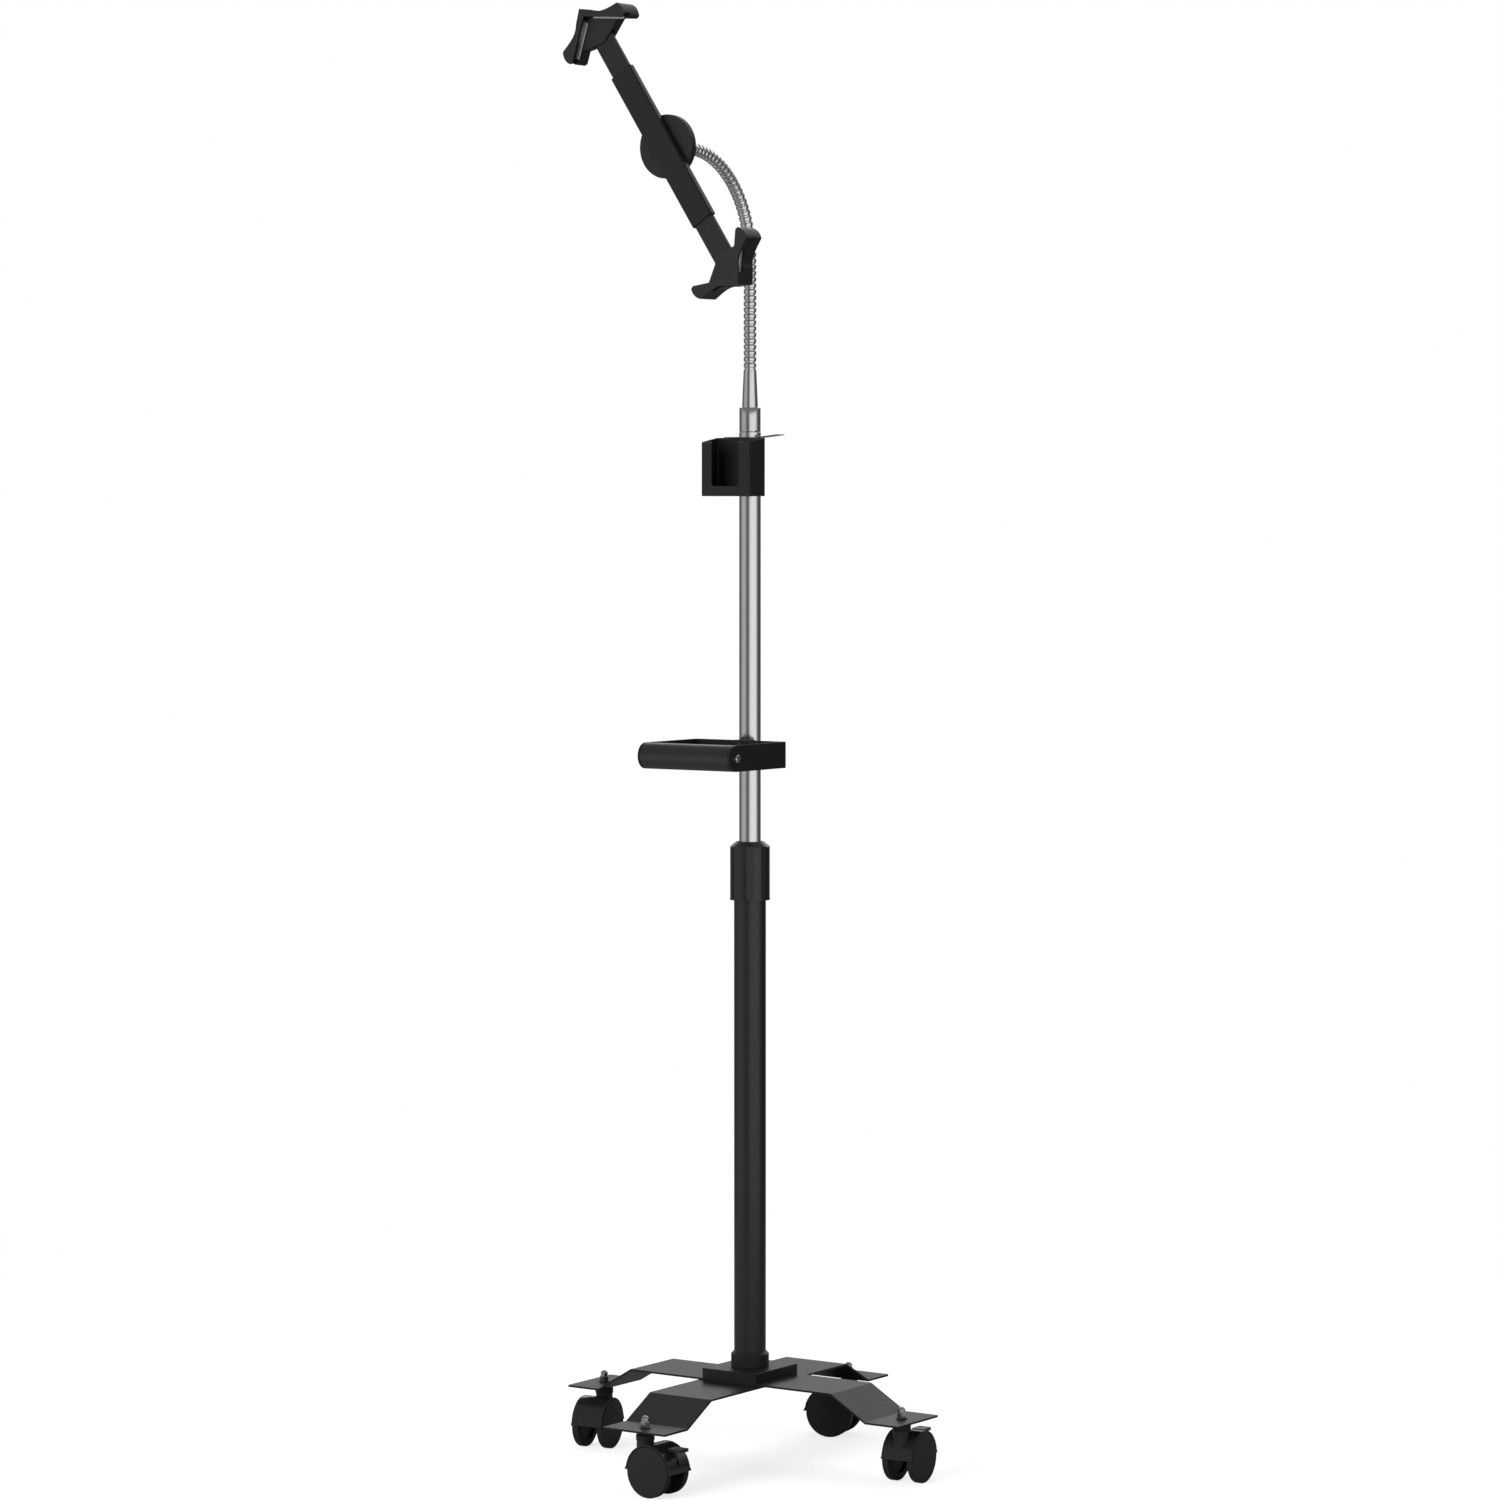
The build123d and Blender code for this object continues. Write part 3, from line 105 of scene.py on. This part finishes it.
def colour(text):
    """An sRGB hex colour as linear red, green, blue and alpha."""
    channels = [int(text[i:i + 2], 16) / 255 for i in (1, 3, 5)]
    return [c / 12.92 if c <= 0.04045 else ((c + 0.055) / 1.055) ** 2.4 for c in channels] + [1.0]


def add_node(tree, kind, values=None, links=None, **settings):
    """Adds one node, sets its properties and values, and links sockets of other nodes into it."""
    node = tree.nodes.new(kind)
    for name, value in settings.items():
        setattr(node, name, value)
    for name, value in (values or {}).items():
        node.inputs[name].default_value = value
    for name, source in (links or {}).items():
        tree.links.new(source, node.inputs[name])
    return node


print("mid grey on screen is", round(colour("#808080")[0], 3), "in linear light")


# %% [markdown]
# ## One recipe for worked surfaces
# Powder coat, moulded plastic, foam and plated metal all share a pattern: two close tones, a
# roughness that wanders a little, and a fine grain in relief. What tells them apart is the size of
# that grain and how hard it catches the light. The sizes are in millimetres. Real grain of a tenth
# of a millimetre would not show from five metres, so it is drawn coarser. Gloss is how much a
# coating or a plastic mirrors; filled black resins mirror less than clear ones.

# %% Surface recipe
DRIFT = 60 * MM
COAT_ROUGHNESS = 0.08


def surface(name, tone, other, rough, grain_mm, relief_mm, metallic=0.0, coat=0.0, gloss=0.3):
    """A material with a drifting tone, a roughness between two values and a fine relief."""
    material = bpy.data.materials.new(name)
    material.use_nodes = True
    tree = material.node_tree
    shader = tree.nodes["Principled BSDF"]
    place = {"Vector": add_node(tree, "ShaderNodeTexCoord").outputs["Object"]}
    drift = add_node(tree, "ShaderNodeTexNoise", {"Scale": 1 / DRIFT, "Detail": 3.0}, place)
    grain = add_node(
        tree, "ShaderNodeTexNoise", {"Scale": 1 / (grain_mm * MM), "Detail": 2.0}, place,
    )
    tones = add_node(
        tree, "ShaderNodeMix", {FIRST_COLOUR: colour(tone), SECOND_COLOUR: colour(other)},
        {"Factor": drift.outputs["Fac"]}, data_type="RGBA",
    )
    speck = grain.outputs["Fac"]
    polish = add_node(
        tree, "ShaderNodeMapRange", {"To Min": rough[0], "To Max": rough[1]}, {"Value": speck},
    )
    relief = add_node(
        tree, "ShaderNodeBump", {"Strength": 1.0, "Distance": relief_mm * MM}, {"Height": speck},
    )
    tree.links.new(tones.outputs[MIXED_COLOUR], shader.inputs["Base Color"])
    tree.links.new(polish.outputs["Result"], shader.inputs["Roughness"])
    tree.links.new(relief.outputs["Normal"], shader.inputs["Normal"])
    shader.inputs["Metallic"].default_value = metallic
    shader.inputs["Coat Weight"].default_value = coat
    shader.inputs["Coat Roughness"].default_value = COAT_ROUGHNESS
    if not metallic:
        shader.inputs["Specular IOR Level"].default_value = gloss
    return material


print("wandering tone repeats about every", DRIFT, "m")


# %% [markdown]
# ## Finishes
# Black powder coat is baked resin: it has a faint orange peel and a broad, greyish sheen, which is
# why the flat strips look mid grey from a low angle. Chrome mirrors the studio, and the thin drawn
# lines along the tube only blur it a little. The moulded black parts are nylon and ABS, the casters
# glossier than the holder. The handle wears a foam rubber sleeve, whose skin has a soft highlight.


# %% Materials
def plated(*recipe):
    """The same recipe for a bare or plated metal."""
    return surface(*recipe, metallic=1.0)


finishes = {
    "powder_coat": surface("powder coat", "#101011", "#151516", (0.32, 0.42), 1.6, 0.03),
    "black_tube": surface(
        "stoved enamel tube", "#121213", "#161617", (0.23, 0.3), 1.2, 0.01, gloss=0.5,
    ),
    "dark_steel": plated("zinc plated steel", "#6c6d6f", "#7c7d80", (0.3, 0.42), 1.0, 0.01),
    "plated_steel": plated("bright zinc plate", "#c4c5c8", "#d0d1d4", (0.16, 0.24), 0.9, 0.005),
    "chrome_trim": plated("bright chrome plate", "#d2d3d5", "#dadbdc", (0.07, 0.1), 0.8, 0.0),
    "chrome_tube": plated("drawn chrome tube", "#d6d7d9", "#dddee0", (0.09, 0.12), 0.8, 0.0),
    "clip_steel": plated("spring steel strip", "#9c9da0", "#b0b1b4", (0.25, 0.36), 0.8, 0.005),
    "gooseneck_steel": plated("chromed conduit", "#d6d7d9", "#dddee0", (0.06, 0.09), 0.8, 0.0),
    "bush_plastic": surface("black nylon bush", "#1a1a1a", "#222222", (0.45, 0.6), 1.0, 0.01),
    "collar_plastic": surface(
        "grained black ABS", "#101011", "#151516", (0.2, 0.27), 1.1, 0.01, gloss=0.5,
    ),
    "holder_plastic": surface("moulded black ABS", "#141415", "#1a1a1b", (0.38, 0.48), 1.1, 0.02),
    "grip_plastic": surface("moulded black nylon", "#161617", "#1c1c1d", (0.34, 0.44), 1.2, 0.02),
    "pad_rubber": surface("grey rubber pad", "#6f7072", "#7a7b7d", (0.7, 0.85), 1.0, 0.02),
    "handle_rubber": surface(
        "foam rubber sleeve", "#131314", "#171718", (0.3, 0.38), 1.3, 0.03, gloss=0.6,
    ),
    "caster_plastic": surface(
        "glossy black nylon", "#131314", "#171718", (0.18, 0.25), 1.5, 0.004, coat=0.2, gloss=0.5,
    ),
    "wheel_plastic": surface("caster wheel nylon", "#161617", "#1b1b1c", (0.34, 0.44), 1.5, 0.01),
}
black_oxide = surface("black oxide steel", "#121213", "#18181a", (0.24, 0.34), 1.0, 0.004)
own_finish = {"caster_stems": black_oxide, "stem_washers": black_oxide}


def dress(piece, node):
    """Gives a piece the node's own finish, or the finish of its slot."""
    piece.data.materials.clear()
    piece.data.materials.append(own_finish.get(node, finishes[slot_of_node[node]]))


for node, piece in frame["nodes"].items():
    dress(piece, node)
print("materials", len(bpy.data.materials))

# %% [markdown]
# ## Rounded edges
# No edge on a real stand is a perfect corner: a folded strip, a moulded shell and a turned nut all
# have a small radius, and that radius is what catches the light. The solids could be rounded in CAD,
# but a bevel on a merged copy is quicker and gives clean smooth shading too. The copy stands for its
# solid, and the width of its bevel is the radius that its way of making leaves. Weighted normals let
# the broad faces decide the shade at their edges, so a flat strip stays flat to the eye.


# %% Softened copies
MERGE_WITHIN = 0.002 * MM
FLAT_WITHIN = radians(0.8)
SMOOTH_BELOW = radians(32)
BEVEL_STEPS = 2


def deselect():
    """Leaves edit mode, with nothing selected."""
    if bpy.context.object and bpy.context.object.mode != "OBJECT":
        bpy.ops.object.mode_set(mode="OBJECT")
    bpy.ops.object.select_all(action="DESELECT")


def make_active(piece):
    """Selects one piece alone."""
    deselect()
    piece.select_set(True)
    bpy.context.view_layer.objects.active = piece


def apply_all(piece):
    """Applies a piece's modifiers in their order."""
    make_active(piece)
    for modifier in list(piece.modifiers):
        bpy.ops.object.modifier_apply(modifier=modifier.name)


def softened(node, radius_mm):
    """A merged copy of a solid with its corners rounded and its curved faces shaded smooth."""
    mesh = frame["nodes"][node].data.copy()
    piece = bpy.data.objects.new(node + "_finished", mesh)
    bpy.context.scene.collection.objects.link(piece)
    make_active(piece)
    bpy.ops.object.mode_set(mode="EDIT")
    bpy.ops.mesh.select_all(action="SELECT")
    bpy.ops.mesh.remove_doubles(threshold=MERGE_WITHIN)
    bpy.ops.mesh.dissolve_limited(angle_limit=FLAT_WITHIN)
    bpy.ops.object.mode_set(mode="OBJECT")
    if radius_mm:
        bevel = piece.modifiers.new("rounding", "BEVEL")
        bevel.width = radius_mm * MM
        bevel.segments = BEVEL_STEPS
        bevel.limit_method = "ANGLE"
        bevel.angle_limit = SMOOTH_BELOW
        bevel.use_clamp_overlap = True
        apply_all(piece)
    make_active(piece)
    bpy.ops.object.shade_smooth_by_angle(angle=SMOOTH_BELOW)
    piece.modifiers.new("flat faces stay flat", "WEIGHTED_NORMAL").keep_sharp = True
    apply_all(piece)
    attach(piece, body_of_node[node])
    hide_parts(node)


print("corners under", round(SMOOTH_BELOW, 3), "radians are shaded smooth")

# %% [markdown]
# The widths are in millimetres. A folded strip or sheet keeps about a third of a millimetre at its
# cut edges, a washer or a clip less, and a moulded lip or lever more. A width of 0 leaves the
# corners as the solid has them, so that copy is only merged and shaded.

# %% Roundings
edge_radius_mm = {
    "base_strip_lower": 0.35, "base_strip_upper": 0.35, "hub_block": 0, "base_collar": 0.4,
    "twist_collar": 0.3, "handle_bracket": 0.5, "grip_bar": 0, "grip_screws": 0, "panel_screws": 0,
    "handle_saddle": 0.4, "open_box": 0.35, "box_saddle": 0.4, "spring_clip": 0.15,
    "stem_nuts": 0.2, "stem_washers": 0.15, "caster_stems": 0.2, "centre_bolt": 0.3,
    "strip_screws": 0, "ball_stud": 0.2, "ball_seat": 0, "socket_cup": 0.4, "clamp_nut": 0.3,
    "hub_shell": 0.4, "hub_screws": 0, "diagonal_bar": 0.3, "slider_upper": 0,
    "slider_lower": 0, "lock_screw_upper": 0.25, "lock_screw_lower": 0.25,
}
for side in ("upper", "lower"):
    edge_radius_mm[f"grip_lip_{side}"] = 0.8
    edge_radius_mm[f"grip_body_{side}"] = 0.8
    edge_radius_mm[f"grip_pads_{side}"] = 0.2
    edge_radius_mm[f"grip_pin_{side}"] = 0
for name in ("front", "right", "back", "left"):
    edge_radius_mm[f"hood_{name}"] = 0.4
    edge_radius_mm[f"axle_{name}"] = 0.3
    edge_radius_mm[f"wheels_{name}"] = 0
for name in ("front", "right"):
    edge_radius_mm[f"brake_lever_{name}"] = 0.6
for node, radius_mm in edge_radius_mm.items():
    softened(node, radius_mm)
print("rounded pieces", len(edge_radius_mm))

# %% [markdown]
# ## Turned and drawn pieces
# A tube, a ferrule and a rib are round all the way along, so each one can be a circle that is
# extruded and scaled through the points of its wall. It could be a softened solid like the rest,
# but the merged triangles of a solid are uneven, and a mirror finish shows that.


# %% Drawn shapes
DRAWN_MERGE = 0.005 * MM
ROUND_SIDES = 128


def drawn(name, sides, *points):
    """A circle extruded and scaled through points of radius and height, in metres."""
    deselect()
    radius, height = points[0]
    bpy.ops.mesh.primitive_circle_add(
        vertices=sides, radius=radius, fill_type="NOTHING", location=(0, 0, height),
    )
    piece = bpy.context.object
    piece.name = name
    bpy.ops.object.transform_apply(location=True, rotation=False, scale=False)
    bpy.ops.object.mode_set(mode="EDIT")
    bpy.ops.mesh.select_all(action="SELECT")
    for wanted, top in points[1:]:
        bpy.ops.mesh.extrude_region_move(TRANSFORM_OT_translate={"value": (0, 0, top - height)})
        bpy.ops.transform.resize(
            value=(wanted / radius, wanted / radius, 1), center_override=(0, 0, 0),
        )
        radius, height = wanted, top
    bpy.ops.mesh.select_all(action="SELECT")
    bpy.ops.mesh.remove_doubles(threshold=DRAWN_MERGE)
    bpy.ops.mesh.normals_make_consistent(inside=False)
    bpy.ops.object.mode_set(mode="OBJECT")
    return piece


def finish(piece, node, corner_deg):
    """Shades a new piece, and gives it the material of its solid's slot."""
    make_active(piece)
    bpy.ops.object.shade_smooth_by_angle(angle=radians(corner_deg))
    dress(piece, node)
    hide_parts(node)


print("a round piece has", ROUND_SIDES, "sides")

# %% [markdown]
# ## The tubes
# Both tubes are drawn steel, and a drawn tube has no seam that shows. The solids have screw holes
# under the handle and the box, and a smooth shade would pull at the light round them. So each tube
# is drawn again out of a few points of its wall, with its rims broken.

# %% Tubes
TUBE_WALL = {"lower_tube": 1.5 * MM, "upper_tube": 1.3 * MM}
RIM = 0.2 * MM
CORNER_DEG = 30
for node, wall in TUBE_WALL.items():
    low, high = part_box(node)
    radius, foot, top = (high[0] - low[0]) / 2, low[2], high[2]
    tube = drawn(
        node + "_drawn", ROUND_SIDES, (radius - RIM, foot), (radius, foot + RIM),
        (radius, top - RIM), (radius - RIM, top), (radius - wall, top), (radius - wall, foot),
        (radius - RIM, foot),
    )
    finish(tube, node, CORNER_DEG)
    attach(tube, body_of_node[node])
    print(tube.name, "radius", round(radius, 5), "faces", len(tube.data.polygons))

# %% [markdown]
# ## The neck's ferrule
# The ferrule is turned from one steel bar and polished before it is plated: a plug that hides in the
# tube, a plain band with rounded rims, a small shoulder and a long cone. Its mirror finish would show
# every flat of a solid's triangles, so it is drawn through its profile too. Sizes are in millimetres.

# %% Ferrule
FERRULE_BORE, PLUG_RADIUS, BAND_RADIUS, SHOULDER_RADIUS, CONE_TIP = (3.6, 9.43, 10.55, 7.75, 6.3)
PLUG_TOP, BAND_TOP, SHOULDER_TOP = (15, 39.5, 43.7)
RIM_ROUND = 0.7
low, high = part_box("neck_ferrule")
rim_turns = [radians(turn) for turn in (0, 22.5, 45, 67.5, 90)]
lower_rim = [
    (BAND_RADIUS - RIM_ROUND * (1 - sin(turn)), PLUG_TOP + RIM_ROUND * (1 - cos(turn)))
    for turn in rim_turns
]
upper_rim = [
    (BAND_RADIUS - RIM_ROUND * (1 - cos(turn)), BAND_TOP - RIM_ROUND * (1 - sin(turn)))
    for turn in rim_turns
]
tip_height = (high[2] - low[2]) / MM
profile = [
    (FERRULE_BORE, 0), (PLUG_RADIUS, 0), (PLUG_RADIUS, PLUG_TOP), *lower_rim, *upper_rim,
    (SHOULDER_RADIUS, BAND_TOP), (SHOULDER_RADIUS, SHOULDER_TOP), (CONE_TIP, tip_height),
    (FERRULE_BORE, tip_height), (FERRULE_BORE, 0),
]
profile_m = [(radius * MM, low[2] + height * MM) for radius, height in profile]
ferrule = drawn("neck_ferrule_drawn", ROUND_SIDES, *profile_m)
finish(ferrule, "neck_ferrule", CORNER_DEG)
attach(ferrule, body_of_node["neck_ferrule"])
print(ferrule.name, "faces", len(ferrule.data.polygons))

# %% [markdown]
# ## The gooseneck
# The neck is a steel conduit wound in close ribs, so it bends and stays. One rib is drawn out of a
# circle by extruding and scaling it, an array repeats it, and a curve lays the row along the neck's
# line: up from the cone, a quarter turn forward and into the stud. A rib's stations are its places
# along one step, each with its radius as a share of the crest's, and none at the root.

# %% One rib, forty-six times
NECK_FOOT = 1.1010
NECK_STRAIGHT = 0.1094
NECK_TURN = 0.104
NECK_TAIL = 0.0126
NECK_CREST = 6.3 * MM
NECK_ROOT = 5.4 * MM
NECK_END = 2.0 * MM
NECK_SIDES = 40
NECK_CORNER_DEG = 50
RIBS = 46
RIB_MERGE = 0.02 * MM
neck_length = NECK_STRAIGHT + NECK_TURN * pi / 2 + NECK_TAIL
rib_step = (neck_length - 2 * NECK_END) / RIBS
rib_stations = (
    (0.04, 0.93), (0.09, 0.985), (0.18, 1.0), (0.6, 1.0), (0.69, 0.985), (0.74, 0.93), (0.8, None),
)
rib_points = [
    (NECK_CREST * swell if swell else NECK_ROOT, part * rib_step) for part, swell in rib_stations
]
neck = drawn(
    "gooseneck_conduit", NECK_SIDES, (NECK_ROOT, 0), *rib_points, (NECK_ROOT, rib_step),
)
row = neck.modifiers.new("row of ribs", "ARRAY")
row.count = RIBS
row.use_relative_offset = False
row.use_constant_offset = True
row.constant_offset_displace = (0, 0, rib_step)
row.use_merge_vertices = True
row.merge_threshold = RIB_MERGE
apply_all(neck)
print("one rib is", round(rib_step / MM, 2), "mm long; faces", len(neck.data.polygons))

# %% [markdown]
# The conduit ends plain in the cone and in the stud, so both open ends of the row are drawn out to
# the full length. The lower one then hangs below height zero, so the row is lifted by one end.

# %% Plain ends
SAME_HEIGHT = 0.05 * MM
make_active(neck)
for end, step in ((min, -NECK_END), (max, NECK_END)):
    bpy.ops.object.mode_set(mode="EDIT")
    bpy.ops.mesh.select_mode(type="VERT")
    bpy.ops.mesh.select_all(action="DESELECT")
    bpy.ops.object.mode_set(mode="OBJECT")
    rim_height = end(vertex.co.z for vertex in neck.data.vertices)
    for vertex in neck.data.vertices:
        vertex.select = abs(vertex.co.z - rim_height) < SAME_HEIGHT
    bpy.ops.object.mode_set(mode="EDIT")
    bpy.ops.mesh.extrude_region_move(TRANSFORM_OT_translate={"value": (0, 0, step)})
bpy.ops.mesh.select_all(action="SELECT")
bpy.ops.transform.translate(value=(0, 0, NECK_END))
bpy.ops.mesh.normals_make_consistent(inside=False)
bpy.ops.object.mode_set(mode="OBJECT")
print("neck with its ends", round(neck.dimensions.z, 4), "m")

# %% [markdown]
# The line that the row follows is drawn as a curve of three stretches, straight, round and
# straight, with handles in metres, and the Curve modifier bends the row along it. A handle of 0.5523
# of the radius makes a Bezier curve a quarter of a circle.

# %% The neck's line
NECK_MERGE = 0.01 * MM
STRAIGHT_HANDLE = 0.03
AFTER_TURN, BEFORE_END, PAST_END = 0.004, 0.008, 0.02
ARC_HANDLE = 0.5523 * NECK_TURN
LINE_STEPS = 64
bend_start = NECK_FOOT + NECK_STRAIGHT
neck_top = bend_start + NECK_TURN
deselect()
bpy.ops.curve.primitive_bezier_curve_add(location=(0, 0, 0))
line = bpy.context.object
spline = line.data.splines[0]
spline.bezier_points.add(2)
rise = [
    (NECK_FOOT, NECK_FOOT - STRAIGHT_HANDLE, NECK_FOOT + STRAIGHT_HANDLE),
    (bend_start, bend_start - STRAIGHT_HANDLE, bend_start + ARC_HANDLE),
]
reach = [
    (-NECK_TURN, -NECK_TURN + ARC_HANDLE, -NECK_TURN - AFTER_TURN),
    (-NECK_TURN - NECK_TAIL, -NECK_TURN - BEFORE_END, -NECK_TURN - PAST_END),
]
neck_points = [[(0, 0, up) for up in row_up] for row_up in rise]
neck_points += [[(0, forward, neck_top) for forward in row_out] for row_out in reach]
for point, (place, before, after) in zip(spline.bezier_points, neck_points):
    point.handle_left_type = point.handle_right_type = "FREE"
    point.co, point.handle_left, point.handle_right = place, before, after
line.data.resolution_u = LINE_STEPS
line.data.twist_mode = "MINIMUM"

follow = neck.modifiers.new("along the neck", "CURVE")
follow.object = line
follow.deform_axis = "POS_Z"
apply_all(neck)
bpy.data.objects.remove(line)
make_active(neck)
bpy.ops.object.mode_set(mode="EDIT")
bpy.ops.mesh.select_all(action="SELECT")
bpy.ops.mesh.remove_doubles(threshold=NECK_MERGE)
bpy.ops.object.mode_set(mode="OBJECT")
finish(neck, "gooseneck", NECK_CORNER_DEG)
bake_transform(neck)
print("neck", round(neck_length, 4), "faces", len(neck.data.polygons))

# %% [markdown]
# ## Studio
# A product shot like this one has a white sweep and large soft lamps, and chrome shows nothing but
# what stands round it. Here what it mirrors is the world: a tree of nodes that turns the direction
# of a ray into a grey. Three helpers make its parts: a ramp through stops of place and level, the
# share of a direction along another one, and a choice between two greys.

# %% Helpers for the world
world = bpy.data.worlds.new("studio")
bpy.context.scene.world = world
world.use_nodes = True
tree = world.node_tree
tree.nodes.clear()
towards = add_node(tree, "ShaderNodeTexCoord").outputs["Generated"]


def ramp(source, *stops):
    """A grey ramp through stops of place and level."""
    node = add_node(tree, "ShaderNodeValToRGB", links={"Fac": source})
    elements = node.color_ramp.elements
    while len(elements) < len(stops):
        elements.new(1.0)
    for element, (place, level) in zip(elements, stops):
        element.position = place
        element.color = (level, level, level, 1)
    return node.outputs["Color"]


def along(direction):
    """How far a ray's direction points along another one."""
    node = add_node(tree, "ShaderNodeVectorMath", links={0: towards}, operation="DOT_PRODUCT")
    node.inputs[1].default_value = direction
    return node.outputs["Value"]


def choose(factor, first, second):
    """The first colour where the factor is 0 and the second where it is 1."""
    node = add_node(tree, "ShaderNodeMix", links={"Factor": factor}, data_type="RGBA")
    for socket, source in ((FIRST_COLOUR, first), (SECOND_COLOUR, second)):
        if isinstance(source, float):
            node.inputs[socket].default_value = (source, source, source, 1)
        else:
            tree.links.new(source, node.inputs[socket])
    return node.outputs[MIXED_COLOUR]


print("world", world.name)

# %% [markdown]
# The world holds upright panels, from dark to white, that the pole mirrors as bands. A place on
# their ramp is a direction round the stand, with 0.5 on the camera's side, and a place on the ramps
# of height is how steeply a ray climbs. Above the panels a long lamp hangs behind the stand, which
# the level and the back-facing slopes mirror, under a dim ceiling. Rays that only shade matt things
# see an even grey, and the camera sees white.

# %% World
bearing = add_node(
    tree, "ShaderNodeMath", operation="ARCTAN2", links={
        0: along((cos(VIEW_TURN), sin(VIEW_TURN), 0)), 1: along((sin(VIEW_TURN), -cos(VIEW_TURN), 0)),
    },
)
share = add_node(
    tree, "ShaderNodeMapRange", {"From Min": -pi, "From Max": pi},
    {"Value": bearing.outputs["Value"]},
)
PANELS = (
    (0.0, 0.1), (0.15, 0.1), (0.21, 0.3), (0.27, 0.5), (0.34, 0.5), (0.385, 0.3), (0.42, 0.1),
    (0.45, 0.16), (0.49, 0.62), (0.53, 0.98), (0.65, 1.0), (0.68, 0.9), (0.715, 0.5), (0.75, 0.16),
    (0.79, 0.08), (1.0, 0.1),
)
BEHIND = ((0.03, 1.0), (0.12, 0.0), (0.8, 0.0), (0.88, 1.0))
LAMP_BAND = ((0.22, 0.0), (0.32, 1.0), (0.54, 1.0), (0.64, 0.0))
PANEL_TOP = ((0.1, 0.0), (0.16, 1.0))
AMBIENT = 0.7
BACK_LAMP = 1.6
BACK_WALL = 0.3
CEILING = 0.2
panels = ramp(share.outputs["Result"], *PANELS)
height = along((0, 0, 1))
behind = ramp(share.outputs["Result"], *BEHIND)
lamp_band = ramp(height, *LAMP_BAND)
overhead = choose(behind, CEILING, choose(lamp_band, BACK_WALL, BACK_LAMP))
room = choose(ramp(height, *PANEL_TOP), panels, overhead)
rays = add_node(tree, "ShaderNodeLightPath")
lit = choose(rays.outputs["Is Glossy Ray"], AMBIENT, room)
seen = choose(rays.outputs["Is Camera Ray"], lit, 1.0)
light = add_node(tree, "ShaderNodeBackground", {"Strength": 1.0}, {"Color": seen})
add_node(tree, "ShaderNodeOutputWorld", links={"Surface": light.outputs["Background"]})
print("world nodes", len(tree.nodes))

# %% [markdown]
# The lamps only shade: mirrored, they would break the chrome's bands, so glossy rays skip them. The
# strongest stands low to the left of the camera, which leaves the faces on the right the darkest.


# %% Lamps
LAMP_WIDTH = 2.2
AIM_HEIGHT = 0.7


def lamp(name, right_m, front_m, up_m, watts):
    """A square soft lamp, placed as seen from the camera's side and aimed at the stand's middle."""
    x = front_m * sin(VIEW_TURN) + right_m * cos(VIEW_TURN)
    y = -front_m * cos(VIEW_TURN) + right_m * sin(VIEW_TURN)
    deselect()
    bpy.ops.object.light_add(type="AREA", location=(x, y, up_m))
    soft = bpy.context.object
    soft.name = name
    soft.data.size = LAMP_WIDTH
    soft.data.energy = watts
    soft.visible_glossy = False
    aim = soft.location.copy()
    aim.z -= AIM_HEIGHT
    soft.rotation_euler = aim.to_track_quat("Z", "Y").to_euler()


lamp("key lamp", -2.4, 2.6, 1.5, 230)
lamp("fill lamp", 3.2, 1.2, 2.0, 20)
lamp("top lamp", 0.0, -0.6, 3.4, 40)

# %% [markdown]
# ## Floor
# The floor is a pale disc that fades into the white backdrop. The camera sees mostly its own even
# white, and a share of plain matt white keeps the soft shadow under the casters. The stand itself
# sees a greyer sheet, because a white one would throw too much light up at the casters.

# %% Floor
FLOOR_RADIUS = 1.5
WHITE_SHARE = 0.75
deselect()
bpy.ops.mesh.primitive_circle_add(
    vertices=ROUND_SIDES, radius=FLOOR_RADIUS, fill_type="NGON", location=(0, 0, 0),
)
floor = bpy.context.object
floor.name = "studio_floor"
sweep = bpy.data.materials.new("white sweep")
sweep.use_nodes = True
tree = sweep.node_tree
tree.nodes.clear()
paper = add_node(tree, "ShaderNodeBsdfDiffuse", {"Color": colour("#f2f2f2")})
glow = add_node(tree, "ShaderNodeEmission", {"Color": (1, 1, 1, 1), "Strength": 1.0})
soft_shadow = add_node(
    tree, "ShaderNodeMixShader", {"Fac": WHITE_SHARE},
    {1: paper.outputs["BSDF"], 2: glow.outputs["Emission"]},
)
rays = add_node(tree, "ShaderNodeLightPath")
bounce = add_node(tree, "ShaderNodeBsdfDiffuse", {"Color": colour("#6c6c6c")})
pale = add_node(
    tree, "ShaderNodeMixShader", links={
        "Fac": rays.outputs["Is Camera Ray"], 1: bounce.outputs["BSDF"],
        2: soft_shadow.outputs["Shader"],
    },
)
add_node(tree, "ShaderNodeOutputMaterial", links={"Surface": pale.outputs["Shader"]})
floor.data.materials.append(sweep)
print("floor", floor.name, "faces", len(floor.data.polygons))
